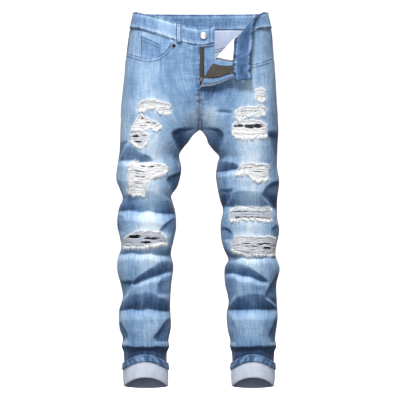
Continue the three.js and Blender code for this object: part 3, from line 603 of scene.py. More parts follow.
def denim(name, stops, streak=0.36, inner=False):
    """Twill whose warp is blue and whose weft is white: stops run from unfaded to bleached, and the painted
    shade and light in the same tone use them too.
    """
    s = Shade(name)
    slub = s.noise((2.2, 30), 2.0)
    broad = s.noise((5.5, 110), 2.0)
    cross = s.noise((26, 3.4), 2.0)
    cloud = s.noise((16, 22), 4.0, 0.6)
    tone = s.vary(s.vary(s.attribute("fade_and_painted_shading"), slub, streak), broad, streak * 0.9)
    tone = s.vary(s.vary(tone, cross, 0.26), cloud, 0.32, clamp=True)
    rib = s.node("TexWave", {"Vector": s.cloth((1, 1)), "Scale": 0.32, "Distortion": 1.4, "Detail": 1.0,
                             "Detail Scale": 2.0}, out="Fac", wave_type="BANDS", bands_direction="DIAGONAL")
    tone = s.vary(tone, rib, 0.1, clamp=True)
    color = s.ramp(tone, stops)
    threads = s.noise((9, 0.9), 1.0)
    worn = s.math("MULTIPLY", s.attribute("worn"), s.math("ADD", 0.55, s.math("MULTIPLY", threads, 0.9)),
                  clamp=True)
    color = s.mix(worn, color, WORN_WEFT)
    # Inside the legs, painted shadow darkens the wrong side.
    if inner:
        color = s.mix(s.attribute("deep"), color, LEG_SHADOW)
    height = s.math("ADD", s.math("MULTIPLY", rib, 0.5), s.math("MULTIPLY", slub, 0.6))
    return s.finish(color, 0.93, height, 0.00035, sheen=0.15)


def thread(name, dark, light):
    s = Shade(name)
    place = s.node("TexCoord", out="Object")
    fuzz = s.node("TexNoise", {"Vector": place, "Scale": 900, "Detail": 2.0})
    tone = s.vary(s.attribute("tone"), fuzz, 0.5, clamp=True)
    return s.finish(s.mix(tone, dark, light), 0.9, fuzz, 0.0003)


def plain_cloth(name, dark, light):
    s = Shade(name)
    warp, weft, cloud = s.noise((0.5, 6), 1.0), s.noise((6, 0.5), 1.0), s.noise((30, 30), 3.0)
    tone = s.math("ADD", s.math("MULTIPLY", s.math("ADD", warp, weft), 0.3), s.math("MULTIPLY", cloud, 0.5),
                  clamp=True)
    return s.finish(s.mix(tone, dark, light), 0.92, s.math("ADD", warp, weft), 0.0001)


def metal(name, color, dark, rough):
    s = Shade(name)
    place = s.node("TexCoord", out="Object")
    worn = s.node("TexNoise", {"Vector": place, "Scale": 420, "Detail": 4.0})
    color = s.mix(s.ramp(worn, ((0.42, (0, 0, 0)), (0.68, (1, 1, 1)))), dark, color)
    rub = s.math("ADD", rough - 0.1, s.math("MULTIPLY", worn, 0.25))
    return s.finish(color, rub, worn, 0.00005, metal=1.0, specular=0.5)


BLUES = (
    (0.0, (0.020, 0.044, 0.108)),
    (0.3, (0.080, 0.162, 0.322)),
    (0.55, (0.215, 0.358, 0.568)),
    (0.8, (0.43, 0.580, 0.757)),
    (1.0, (0.68, 0.79, 0.89)),
)
PALES = (
    (0.0, (0.28, 0.33, 0.45)),
    (0.45, (0.53, 0.61, 0.78)),
    (1.0, (0.76, 0.83, 0.94)),
)
DENIM = denim("washed_denim_twill", BLUES)
WRONG = denim("denim_wrong_side_twill", PALES, streak=0.2, inner=True)
RAW = thread("cut_denim_edge", (0.14, 0.20, 0.32), (0.48, 0.56, 0.67))
WHITE_THREAD = thread("frayed_white_thread", (0.50, 0.54, 0.63), (0.97, 0.97, 0.97))
STITCH = thread("stitching_thread", (0.03, 0.045, 0.10), (0.16, 0.17, 0.22))
BROWN_STITCH = thread("brown_stitching_thread", (0.10, 0.085, 0.08), (0.26, 0.22, 0.19))
COTTON = plain_cloth("pocket_cotton", (0.72, 0.71, 0.68), (0.92, 0.91, 0.88))
TAPE = plain_cloth("zip_tape_weave", (0.03, 0.027, 0.026), (0.10, 0.088, 0.078))
SILVER = metal("satin_silver_metal", (0.86, 0.88, 0.89), (0.5, 0.52, 0.54), 0.34)
DARK_METAL = metal("dark_rivet_metal", (0.07, 0.06, 0.09), (0.02, 0.02, 0.03), 0.45)
BRASS = metal("aged_zip_metal", (0.30, 0.23, 0.14), (0.07, 0.05, 0.04), 0.42)
CLOTH_MATERIALS = [DENIM, WRONG, RAW]


# ------------------------------------------------------------------ wear, with painted shade and light
def bump(x, middle, half):
    return np.exp(-(((x - middle) / half) ** 2))


# How much paler the middle of a leg's front is, by height.
FADE_HEIGHT = curve(
    (-60, 0.12), (-120, 0.22), (-200, 0.26), (-300, 0.36), (-420, 0.46), (-540, 0.46), (-610, 0.38),
    (-680, 0.16), (-790, 0.17), (-826, 0.06),
)


def fade_and_painted_shading(face, x, z):
    """How pale the cloth is: bleached most down the middle of each leg's front, with painted shade and light
    from its folds.
    """
    x, z = np.broadcast_arrays(x, z)
    middle = bump(np.abs(x), 124, 44)
    if face == "front":
        tone = 0.44 + FADE_HEIGHT(z) * middle
        # Painted light at the crotch, where the cloth's shape turns it from the light, and a darker patch by
        # the right hip pocket.
        tone += 0.42 * bump(x, 0, 50) * bump(z, -262, 44) - 0.10 * bump(x, -112, 44) * bump(z, -110, 50)
        shins = smooth((105 - np.abs(x)) / 30) * smooth((-600 - z) / 40)
        # Painted light on the right leg's outer side, and paler shins.
        tone += 0.16 * smooth((-165 - x) / 25) + 0.10 * shins
        # Painted shadow under the turned-back corner, by the fly.
        tone -= 0.16 * bump(x, 50, 40) * bump(z, -190, 20) + 0.16 * bump(x, 20, 18) * bump(z, -200, 24)
    else:
        tone = 0.47 + 0.20 * bump(np.abs(x), 96, 60) * bump(z, -190, 90)
        tone = tone + 0.12 * middle * smooth((-420 - z) / 80)
    # Above 0 where the cloth faces up, below 0 where it faces down.
    facing = (fold_depth(face, x, z + 3) - fold_depth(face, x, z - 3)) / 6
    # Darker in the folds' valleys: partly painted shade, partly the dye left unfaded there.
    tone = tone - 0.15 * np.clip(fold_depth(face, x, z) / 13, 0, 1.4)
    # Painted shade on faces turned down and painted light on faces turned up.
    tone = tone + 0.5 * np.clip(facing, -0.6, 0) + 0.15 * np.tanh(np.maximum(facing, 0) * 1.6)
    # Painted shade in the dents beside the ridges, less at the middle seam.
    tone = tone - 0.26 * np.clip(dent_depth(face, x, z) / 12, 0, 1.3) * (1 - 0.75 * bump(x, 0, 30))
    # Painted shade below the last crease above the cuffs.
    tone = tone - 0.34 * smooth((CREASE_Z + 1 - z) / 8)
    return tone + 0.08 * noise(x / 34, z / 46, 31) + 0.05 * noise(x / 12, z / 60, 32)


def seam_pucker(distance, along, reach=5.0):
    """Light and dark bars beside a seam, where it draws the cloth in."""
    return np.exp(-np.maximum(distance, 0) / reach) * (0.32 * noise(along / 4.2, distance / 9, 41) - 0.07)


# Each rip's upper and lower edges as points (x, z), the slits in its threads as (x, z, half length, half
# height), how far it hangs open at its foot, and its threads' tone and how grey their middle is.
RIPS = {
    "right": [
        dict(top=((-151, -229), (-139, -222), (-116, -219), (-94, -226), (-73, -230)),
             low=((-151, -247), (-135, -244), (-123, -238), (-113, -240), (-100, -248), (-89, -253),
                  (-73, -255)), open=2.6, tone=0.72),
        dict(top=((-169, -288), (-159, -269), (-151, -261), (-139, -260), (-126, -266), (-113, -274),
                  (-96, -284)),
             low=((-169, -291), (-150, -291), (-142, -293), (-121, -288), (-108, -296), (-96, -286)),
             gaps=((-141, -264, 6, 1.8), (-122, -276, 13, 0.9), (-140, -283, 12, 0.8)), tone=0.95),
        dict(top=((-171, -303), (-158, -299), (-146, -303), (-134, -300), (-126, -306)),
             low=((-171, -322), (-160, -328), (-148, -335), (-137, -330), (-126, -318)),
             gaps=((-158, -309, 9, 2.0), (-138, -307, 7, 1.6), (-152, -322, 10, 1.5)), tone=0.6),
        dict(top=((-176, -377), (-163, -371), (-139, -378), (-116, -376), (-87, -379), (-80, -386)),
             low=((-176, -451), (-163, -454), (-148, -453), (-136, -452), (-133, -428), (-126, -418),
                  (-116, -409), (-100, -402), (-80, -397)),
             gaps=((-140, -382, 8, 1.8), (-120, -383, 9, 1.4), (-150, -395, 11, 0.9), (-148, -408, 14, 1.0),
                   (-155, -421, 12, 0.9), (-150, -435, 10, 1.1)), tone=0.97),
        dict(top=((-187, -562), (-173, -551), (-152, -545), (-126, -543), (-100, -545), (-82, -557)),
             low=((-187, -586), (-165, -584), (-139, -583), (-113, -578), (-92, -573), (-82, -579)),
             gaps=((-162, -556, 16, 3.2), (-119, -561, 18, 2.2), (-132, -570, 14, 2.2)),
             tone=0.52, grey=0.5),
    ],
    "left": [
        dict(top=((138, -192), (147, -190), (159, -192)),
             low=((138, -219), (150, -222), (159, -219)),
             gaps=((147, -204, 7, 0.8),), tone=0.9),
        dict(top=((87, -247), (100, -241), (118, -238), (135, -237), (150, -232), (160, -236)),
             low=((87, -264), (95, -269), (106, -263), (118, -258), (133, -257), (160, -255)),
             gaps=((120, -247, 20, 0.7),), open=2.4, tone=0.85),
        dict(top=((80, -279), (90, -274), (105, -272), (133, -270), (153, -274), (165, -279)),
             low=((80, -306), (90, -312), (118, -313), (136, -311), (165, -309)),
             gaps=((95, -284, 14, 3.4), (132, -284, 25, 4.3)), tone=0.97),
        dict(top=((86, -399), (97, -387), (109, -378), (130, -376), (148, -378), (168, -376)),
             low=((86, -409), (95, -402), (106, -398), (118, -402), (127, -412), (139, -416), (168, -415)),
             gaps=((118, -386, 12, 1.0), (145, -397, 14, 1.0)), tone=0.85),
        dict(top=((75, -490), (80, -486), (100, -484), (127, -484), (177, -484)),
             low=((75, -517), (90, -516), (105, -513), (135, -513), (150, -514), (177, -518)),
             gaps=((104, -494, 22, 1.0), (146, -495, 26, 0.9), (126, -508, 40, 1.1), (112, -502, 20, 0.6)),
             tone=0.75, grey=0.75),
        dict(top=((79, -567), (88, -557), (106, -556), (130, -557), (165, -556), (187, -558)),
             low=((79, -593), (100, -598), (124, -604), (147, -601), (187, -601)),
             gaps=((158, -575, 18, 1.9), (166, -585, 11, 2.2), (116, -573, 14, 1.2), (136, -580, 9, 1.2)),
             tone=0.58),
    ],
}
for side_rips in RIPS.values():
    for rip in side_rips:
        rip["from"], rip["to"] = rip["top"][0][0], rip["top"][-1][0]
        rip["top"], rip["low"] = curve(*rip["top"]), curve(*rip["low"])
        rip.setdefault("gaps", ())
        rip.setdefault("open", 0.0)
        rip.setdefault("grey", 0.0)


def rip_edges(rip, x):
    """The heights of a rip's ragged upper and lower edges."""
    seed = rip["from"] / 7
    ragged = 1.3 * noise(x / 2.8, 0 * x + seed, 51) + 2.4 * noise(x / 8, 0 * x + seed, 52)
    frayed = 1.3 * noise(x / 2.9, 0 * x + seed, 53) + 2.4 * noise(x / 9, 0 * x + seed, 54)
    rounded = 5 * (np.exp(-np.maximum(x - rip["from"], 0) / 4) + np.exp(-np.maximum(rip["to"] - x, 0) / 4))
    rounded = rounded * np.clip((rip["top"](x) - rip["low"](x)) / 30, 0, 1)
    return rip["top"](x) + ragged - rounded, rip["low"](x) - frayed + rounded


def outside_rips(side, x, z):
    """Distance outside the nearest rip, negative within it."""
    nearest = np.full(np.broadcast(x, z).shape, FAR)
    for rip in RIPS[side]:
        top, low = rip_edges(rip, x)
        ends = 1.8 * noise(z / 3, 0 * z, 55) + 3.5 * noise(z / 8, 0 * z, 56)
        gap = np.maximum.reduce([z - top, low - z, rip["from"] + ends - x, x - rip["to"] + ends])
        nearest = np.minimum(nearest, gap)
    return nearest


# ------------------------------------------------------------------ leg panels
HALF_GAP = 0.18
JOIN_Z = -152
CORNER_JOIN_Z = -208


def x_at(side, face, share, z):
    return at_angle(side, face, share * section(side, z)[3], z)[..., 0]


def meets(side, face, share, edge):
    """The height at which the column at a share meets an edge."""
    z = np.full(np.shape(share), float(edge(100)))
    for _ in range(30):
        z = (z + edge(np.abs(x_at(side, face, share, z)))) / 2
    return z


def over_seam(x):
    return FRONT_SEAM(np.abs(x)) - 4 * HALF_GAP


def front_edge(side):
    return lambda x: np.minimum(SCOOP[side](x), over_seam(x))


def low_end(face, share):
    return cuff_fold(face, np.sin(share * PI)) + CLOTH + 0.5


def panel_grid(side, face, shares, edge, join, upper, lower):
    """Heights for every row and column, from a shaped edge to the cuff's fold."""
    tops = meets(side, face, shares, edge)
    low = low_end(face, shares)
    a = np.linspace(0, 1, upper)[:, None]
    rise = round(lower * (join - CROTCH_Z) / (join - CUFF_FOLD))
    b = np.linspace(0, 1, rise)[1:, None]
    c = np.linspace(0, 1, lower - rise)[1:, None]
    z = np.concatenate([tops + (join - tops) * a, join + (CROTCH_Z - join) * b + 0 * low,
                        CROTCH_Z + (low - CROTCH_Z) * c])
    return np.broadcast_to(shares, z.shape).copy(), z


def panel_place(side, face, share, z):
    angle = share * section(side, z)[3]

    def place(out):
        p = on_section(side, face, angle, z, np.broadcast_to(out, z.shape))
        seam = (share == 0) | ((share == 1) & (z <= CROTCH_Z))
        p[..., 1] += np.where(seam, FACE[face] * HALF_GAP, 0)
        p[..., 0] += np.where(share == 1, SIGN[side] * HALF_GAP, 0)
        return p

    return place


def corner_place(share, z):
    x = x_at("left", "front", share, z)
    flat = panel_place("left", "front", share, z)

    def place(out):
        back = (past_fold(x, z) > 0) & (z > CORNER_JOIN_Z)
        return np.where(back[..., None], turned(x, z, out), flat(out))

    return place


def ease_edges(keep, share, z):
    """Rounds off the stepped edges of the holes."""
    cells = np.pad(keep, 1, mode="edge").astype(int)
    around = cells[:-1, :-1] + cells[1:, :-1] + cells[:-1, 1:] + cells[1:, 1:]
    edge = (around > 0) & (around < 4)
    for grid in (share, z):
        for _ in range(3):
            total, count = np.zeros(grid.shape), np.zeros(grid.shape)
            for shift, axis in ((1, 0), (-1, 0), (1, 1), (-1, 1)):
                near = np.roll(edge, shift, axis)
                total += np.where(near, np.roll(grid, shift, axis), 0)
                count += near
            grid[...] = np.where(edge & (count > 0), 0.5 * grid + 0.5 * total / np.maximum(count, 1), grid)


def leg_panel(side, face, columns, upper, lower):
    shares = np.linspace(0, 1, columns)
    corner = side == "left" and face == "front"
    edge = front_edge(side) if face == "front" else (lambda x: YOKE_SEAM(x) - 2 * HALF_GAP)
    share, z = panel_grid(side, face, shares, edge, CORNER_JOIN_Z if corner else JOIN_Z, upper, lower)
    keep = None
    x = x_at(side, face, share, z)
    far = np.full(z.shape, FAR)
    if face == "front":
        far = outside_rips(side, x, z)
        keep = (far[:-1, :-1] + far[1:, :-1] + far[:-1, 1:] + far[1:, 1:]) > 0
        ease_edges(keep, share, z)
    x = x_at(side, face, share, z)
    u = SIGN[side] * share * PANEL_GIRTH * FACE[face] + (500 if face == "back" else 0)
    tone = fade_and_painted_shading(face, x, z)
    side_seam = share * PANEL_GIRTH
    inseam = (1 - share) * PANEL_GIRTH
    tone += seam_pucker(side_seam, z) + seam_pucker(inseam, z)
    # Painted shade along the side seams and inseams, where the cloth turns away.
    tone -= 0.10 * np.exp(-side_seam / 12) + 0.06 * np.exp(-inseam / 12)
    if face == "front":
        below = front_edge(side)(np.abs(x)) - z
        tone += seam_pucker(below, x, 7) + 0.12 * bump(below, 5, 3)
        seat = smooth((SEAT_TOP - z) / 10) * smooth((z - SEAT_FOOT) / 6)
        # Painted shade in the middle seam's groove, with pucker bars beside it.
        tone += (0.34 * noise(z / 4.4, x / 9, 43) * bump(x, 0, 9) - 0.34 * bump(x, 0, 4)) * seat
    tone += 0.22 * np.exp(-np.maximum(far, 0) / 9)
    worn = 0.95 * np.exp(-np.maximum(far + 1.8 * noise(x / 2.6, z / 3, 57), 0) / 1.3)
    # Painted shadow inside the legs: how far the wrong side darkens towards LEG_SHADOW.
    deep = smooth((-170 - z) / 60) * (0.4 + 0.5 * smooth((z + 880) / 60))
    place = corner_place(share, z) if corner else panel_place(side, face, share, z)
    edge_tone = EDGE_TONE * smooth(np.minimum(side_seam, inseam) / 8)
    values = {"fade_and_painted_shading": tone, "worn": worn, "tone": edge_tone, "deep": deep}
    shell(
        f"{face}_panel_{side}", place, u, z, (0.0, CLOTH), CLOTH_MATERIALS, values, keep)


for side in ("right", "left"):
    leg_panel(side, "back", 56, 30, 200)
leg_panel("right", "front", 96, 22, 330)
leg_panel("left", "front", 96, 62, 300)


# ------------------------------------------------------------------ pieces on the front and back, by x and z
# Attributes for a piece without rips: its tone, which holds fading and any painted shade, and no worn weft.
def plain_wear_and_shading(tone):
    return {"fade_and_painted_shading": tone, "worn": 0 * tone, "tone": 0 * tone + EDGE_TONE}


def patch(node, face, xs, upper, lower, rows, layer, materials, extra=0.0, corner=False):
    x = np.broadcast_to(xs, (rows, len(xs)))
    f = np.linspace(0, 1, rows)[:, None]
    z = upper(xs) + (lower(xs) - upper(xs)) * f
    place = (lambda out: turned(x, z, out)) if corner else (lambda out: on_face(face, x, z, out))
    SHEETS[node] = shell(node, place, x, z, layer, materials, plain_wear_and_shading(fade_and_painted_shading(face, x, z) + extra))


def level(height):
    return lambda x: np.full(np.shape(x), float(height))


def strip_round(node, side, face, upper, lower, last, columns, rows, layer, extra=0.0, corner=False):
    """A panel-like piece from the side seam to the share `last` of the way round."""
    share = np.broadcast_to(np.linspace(0, last, columns), (rows, columns))
    tops = meets(side, face, share[0], upper)
    lows = meets(side, face, share[0], lower)
    z = tops + (lows - tops) * np.linspace(0, 1, rows)[:, None]
    x = x_at(side, face, share, z)
    place = corner_place(share, z) if corner else panel_place(side, face, share, z)
    u = SIGN[side] * share * PANEL_GIRTH
    SHEETS[node] = shell(
        node, place, u, z, layer, CLOTH_MATERIALS, plain_wear_and_shading(fade_and_painted_shading(face, x, z) + extra))


def pocket_top(x):
    return -112 + 0.06 * (np.abs(x) - POCKET_X)


def pocket_foot(x):
    return -238 - 18 * (1 - np.abs(np.abs(x) - POCKET_X) / 66)


def coin_top(x):
    return -57 - 0.455 * (152 + x)


def bag_foot(x):
    return -238 + 26 * ((np.abs(x) - POCKET_X) / 56) ** 2


SHEETS = {}
FACING_FOOT = level(-150)
for side in ("right", "left"):
    strip_round(
        f"back_yoke_{side}", side, "back", level(BACK_SEAM - 2 * HALF_GAP), YOKE_SEAM, 1, 64, 18,
        (0.0, CLOTH))
    patch(
        f"back_pocket_{side}", "back", SIGN[side] * np.linspace(34, 158, 44), pocket_top, pocket_foot, 46,
        (2.3, 1.3), CLOTH_MATERIALS, 0.05)
strip_round("pocket_facing_right", "right", "front", over_seam, FACING_FOOT, 0.83, 60, 34, (-3.3, 1.1), 0.1)
strip_round(
    "pocket_facing_left", "left", "front", over_seam, FACING_FOOT, 0.84, 70, 50, (-3.3, 1.1), 0.08,
    corner=True)
patch(
    "coin_pocket", "front", np.linspace(-147, -98, 26), coin_top, level(-134), 34, (-2.0, 0.8),
    CLOTH_MATERIALS, -0.07)
patch(
    "pocket_bag_right", "front", np.linspace(-152, -42, 40), over_seam, bag_foot, 50, (-5.7, 0.8),
    [COTTON] * 3)
patch(
    "pocket_bag_left", "front", np.linspace(42, 152, 60), over_seam, bag_foot, 90, (-5.7, 0.8), [COTTON] * 3,
    corner=True)
patch(
    "fly_facing_left", "front", np.linspace(3, 39, 22), over_seam, lambda x: -202 + 26 * (x / 40) ** 2, 60,
    (-2.3, 1.1), [DENIM, DENIM, RAW], 0.0, corner=True)
patch(
    "fly_shield_right", "front", np.linspace(-18, UNDERLAP_X, 26), over_seam,
    lambda x: -186 + 30 * (np.maximum(x, 0) / 36) ** 2, 50, (-6.0, 1.3), CLOTH_MATERIALS,
    -0.02)
patch(
    "zip_tape_left", "front", np.linspace(12.6, 31, 12), over_seam, level(-190), 60, (-4.2, 0.8), [TAPE] * 3,
    corner=True)
patch(
    "zip_tape_right", "front", np.linspace(-8, 9, 10), level(-90), level(-186), 40, (-4.2, 0.8), [TAPE] * 3)


# ------------------------------------------------------------------ the waistband
def edge_round(f, height, thick):
    """How far the folded edges of a strip draw in its faces, by the share of its height."""
    near = np.minimum(f, 1 - f) * height
    return thick / 2 * (1 - np.sqrt(1 - (1 - np.clip(near / (thick / 2), 0, 1)) ** 2))


def on_front(x, z):
    return lambda out: on_face("front", x, z, out, False)


def round_side(side, face, angle, z):
    return lambda out: on_section(side, face, angle, z, np.broadcast_to(out, z.shape), False)


class Band:
    """The waistband's columns, from the right end under the button round to the turned-back left end."""

    # The height at which its columns are spaced.
    MIDDLE_Z = -25.0

    def __init__(self):
        rows = 14
        self.f = np.linspace(0, 1, rows)[:, None]
        x = np.linspace(UNDERLAP_X, -110, 74)
        self.parts = [("face", x, FRONT_TOP(np.abs(x)), FRONT_SEAM(np.abs(x)))]
        corner = angle_of("right", np.array(-112.0), np.array(self.MIDDLE_Z))
        angles = np.linspace(float(corner), 0, 26)
        self.parts.append(("right", "front", angles))
        self.parts.append(("right", "back", np.linspace(0.04, PI / 2, 60)))
        self.parts.append(("left", "back", np.linspace(PI / 2 - 0.03, 0, 60)))
        start = angle_of("left", np.array(160.0), np.array(self.MIDDLE_Z))
        self.parts.append(("left", "front", np.linspace(0.04, float(start), 12)))
        self.seam_x = np.linspace(157, OVERLAP_X, 110)

    def grid(self, f):
        """A function of out for the rows at shares f of the height."""
        pieces = []
        for part in self.parts:
            if part[0] == "face":
                _, x, top, seam = part
                z = top + (seam - top) * f
                pieces.append(on_front(x, z))
                continue
            side, face, angle = part
            if face == "back":
                z = BACK_TOP + (BACK_SEAM - BACK_TOP) * f + 0 * angle
            else:
                at = np.abs(at_angle(side, "front", angle, np.full(angle.shape, self.MIDDLE_Z))[..., 0])
                z = FRONT_TOP(at) + (FRONT_SEAM(at) - FRONT_TOP(at)) * f
            pieces.append(round_side(side, face, np.broadcast_to(angle, z.shape), z))
        seam_x = self.seam_x
        seam_z = FRONT_SEAM(np.abs(seam_x))
        lean = np.clip((seam_x - 40) / 30, 0, 1) * np.clip((162 - seam_x) / 50, 0, 1)
        top_x = seam_x + lean * BAND_HEIGHT * FOLD_U / FOLD_V
        top_z = FRONT_TOP(np.abs(top_x))
        x = top_x + (seam_x - top_x) * f
        z = top_z + (seam_z - top_z) * f
        pieces.append(lambda out: turned(x, z, out))

        def place(out):
            out = np.asarray(out, float)
            return np.concatenate([p(out) for p in pieces], axis=1)

        return place


band = Band()
band_f = band.f
band_place = band.grid(band_f)
middle_row = band_place(np.array(0.0))[7]
band_along = np.concatenate([[0], np.cumsum(np.linalg.norm(np.diff(middle_row, axis=0), axis=1))])
draw_in = edge_round(band_f, BAND_HEIGHT - 1, 3.0)
band_puff = 0.35 * np.sin(band_f * PI)
# 1 on the turned-back end.
on_corner = smooth((band_along - band_along[-1] + 190) / 40)[None]
pucker = noise(band_along[None] / 3.6, band_f * 3, 62) * (bump(band_f, 0.06, 0.1) + bump(band_f, 0.94, 0.1))
band_tone = (
    0.43
    + 0.10 * noise(band_along / 40, 0 * band_along, 61)[None]
    + 0.20 * bump(band_along, 135, 42)[None]
    - 0.23 * on_corner
    + 0.20 * (bump(band_f, 0.15, 0.09) + bump(band_f, 0.85, 0.09))
    # Painted shadow lines along the band's top and bottom edges.
    - 0.22 * (bump(band_f, 0, 0.04) + bump(band_f, 1, 0.05))
    + (0.32 + 0.3 * on_corner) * pucker
)
# The cells left out for the buttonhole.
closed_x = np.full(band_along.shape, 999.0)
closed_x[-len(band.seam_x) :] = band.seam_x
cell_x = (closed_x[:-1] + closed_x[1:]) / 2
cell_z = 1 - BAND_HEIGHT - BAND_HEIGHT * ((band_f[:-1] + band_f[1:]) / 2)
in_hole = (np.abs(cell_x - HOLE_X)[None] < HOLE_HALF_LENGTH) & (np.abs(cell_z - HOLE_Z) < HOLE_HALF_HEIGHT)
out_band = 0.8 + band_puff - draw_in
thick_band = 3.0 + 2 * band_puff - 2 * draw_in
SHEETS["waistband"] = shell(
    "waistband", band_place, band_along, -40 * band_f, (out_band, thick_band), [DENIM] * 3,
    plain_wear_and_shading(band_tone), ~in_hole)


# ------------------------------------------------------------------ cuffs and hem bands
RING_COLUMNS = 150


def ring_piece(node, side, profile, materials, tone, rope=0.0):
    """A ring round a leg. profile(face, b) gives [height, out, thickness] rows."""
    shares = np.linspace(0, 1, RING_COLUMNS // 2 + 1)
    faces = [("front", shares), ("back", shares[::-1][1:-1])]
    grids, us, heights, outs, thicks = [], [], [], [], []
    for face, share in faces:
        z, out, thick = profile(face, np.sin(share * PI))
        grids.append((face, np.broadcast_to(share * PI, z.shape), z))
        heights.append(z)
        outs.append(out)
        thicks.append(thick)
        us.append(share * CUFF_GIRTH / 2 if face == "front" else CUFF_GIRTH - share * CUFF_GIRTH / 2)
    u = np.concatenate(us)
    z, out, thick = (np.concatenate(v, 1) for v in (heights, outs, thicks))
    slant = noise((u[None] + 0.9 * z) / 5.5, z / 26, 71)
    out = out + rope * slant
    first = grids[0][1].shape[1]

    def place(o):
        o = np.broadcast_to(o, z.shape)
        parts = []
        for (face, angle, zz), cut in zip(grids, (slice(0, first), slice(first, None))):
            parts.append(on_section(side, face, angle, zz, o[:, cut], False))
        return np.concatenate(parts, 1)

    mottle = 0.12 * noise(u[None] / 30, z / 30, 72) + 0.10 * noise(u[None] / 6, z / 14, 73)
    shade = tone + mottle + (0.22 * slant if rope else 0)
    inseam = CUFF_GIRTH / 2
    shade = shade + 2 * seam_pucker(np.abs(u - inseam), z, 4) - 0.2 * bump(u, inseam, 1.5)
    SHEETS[node] = shell(node, place, u, z, (out, thick), materials, plain_wear_and_shading(shade), ring=True)


def cuff_profile(face, b):
    top, fold = cuff_top(face, b), cuff_fold(face, b)
    f = np.linspace(0, 1, 16)[:, None] ** 0.9
    body = top + (fold + 3 - top) * f
    out = 2.2 + 1.3 * np.sin(f * PI) + 0 * b
    turn = np.linspace(0.25, 1, 5)[:, None] * PI / 2
    z = np.concatenate([body, fold + 3 - 3 * np.sin(turn) + 0 * b])
    out = np.concatenate([out, -0.6 + 2.8 * np.cos(turn) + 0 * b])
    thick = np.full(z.shape, CLOTH)
    return z, out, thick


def hem_profile(face, b):
    f = np.linspace(0, 1, 12)[:, None]
    z = cuff_top(face, b) + 0.8 - (HEM_BAND + 0.8) * f
    draw = edge_round(f, HEM_BAND, 1.5)
    puff = 0.6 * np.sin(f * PI)
    out = 3.9 + 1.5 * f + puff - draw + 0 * b
    thick = np.broadcast_to(1.2 + puff - draw, z.shape)
    return z, out, np.maximum(thick, 0.5)


for side in ("right", "left"):
    ring_piece(f"cuff_{side}", side, cuff_profile, [WRONG, DENIM, RAW], 0.75)
    ring_piece(f"hem_band_{side}", side, hem_profile, CLOTH_MATERIALS, 0.38, rope=0.5)


# ------------------------------------------------------------------ belt loops
def loop_arch(f):
    return 1.9 + 2.3 * np.sin(f * PI) ** 0.6


def belt_loop(node, place, top, bottom):
    f = np.linspace(0, 1, 30)[:, None]
    w = np.linspace(-6, 6, 9)[None]
    arch = loop_arch(f)
    crown = 0.5 * (1 - (np.abs(w) / 6) ** 4) - 0.25 * bump(np.abs(w), 4.4, 0.8)
    z = top + (bottom - top) * f + 0 * w
    ww = w + 0 * f
    tone = 0.5 + 0.25 * bump(np.abs(w), 2.6, 1.4) - 0.3 * bump(np.abs(w), 6, 1.3)
    tone = tone + 0.16 * noise(z / 4, ww / 4, 81)
    layer = (arch + crown + 1.2, 1.2 + 0 * arch + 0 * crown)
    SHEETS[node] = shell(
        node, lambda out: place(ww, z, out), ww, z, layer, CLOTH_MATERIALS, plain_wear_and_shading(tone))


def loop_on(face, x):
    return lambda w, z, out: on_face(face, x + w, z, out, False)


LOOPS = {
    "belt_loop_front_right": (loop_on("front", -52), -29, -80),
    "belt_loop_front_left": (lambda w, z, out: turned(52 + w, z, out), -31, -77),
    "belt_loop_back_right": (loop_on("back", -100), -2, -46),
    "belt_loop_back_middle": (loop_on("back", 0), -2, -46),
    "belt_loop_back_left": (loop_on("back", 100), -2, -46),
}
for node, (place, top, bottom) in LOOPS.items():
    belt_loop(node, place, top, bottom)


# ------------------------------------------------------------------ torn threads
rng = np.random.default_rng(11)


def between(low, high):
    return low + (high - low) * rng.random()


def on_side(side):
    return lambda x, z, out: on_section(side, "front", angle_of(side, x, z), z, out)


def cross_threads(bits, place, rip, z_high, z_low):
    """White weft threads left across a rip."""
    xs = np.linspace(rip["from"] - 2, rip["to"] + 2, int((rip["to"] - rip["from"]) / 2.4) + 4)
    top, low = rip["top"](xs), rip["low"](xs)
    z = z_high - 0.5
    while z > z_low + rip["open"]:
        share = (z_high - z) / (z_high - z_low)
        rest = top + (low - top) * share
        wave = 0.45 * z + 0.55 * rest + 1.3 * noise(xs / 13, 0 * xs + z / 3.0, 91)
        wave = wave + 0.6 * noise(xs / 4.5, xs * 0 + z, 92)
        for gx, gz, half, tall in rip["gaps"]:
            t = 1 - ((xs - gx) / half) ** 2
            middle = gz + 1.2 * noise(xs / 8, xs * 0 + gz, 94)
            hole = tall * np.sqrt(np.clip(t, 0, 1)) * (1.45 + 0.4 * noise(xs / 3, xs * 0 + gz, 95))
            away = wave - middle
            way = 1 if away[t > 0].sum() >= 0 else -1
            wave = np.where(t > 0, middle + way * np.sqrt(away**2 + hole**2), wave)
        inside = (wave < top + 1.6) & (wave > low + rip["open"] - 1.2)
        out = -0.5 + 0.8 * noise(xs / 9, xs * 0 + z * 1.7, 93) + between(-0.4, 0.5)
        tone = np.clip(rip["tone"] + between(-0.3, 0.15) - rip["grey"] * bump(share, 0.5, 0.24), 0, 1)
        radius = between(0.48, 0.8)
        edges = np.flatnonzero(np.diff(np.concatenate([[0], inside, [0]])))
        for start, stop in edges.reshape(-1, 2):
            if stop - start >= 3 and rng.random() > 0.05:
                cut = slice(start, stop)
                bits.tube((xs[cut], wave[cut], out[cut]), radius, tone, 4, place)
        z -= between(0.65, 1.15)


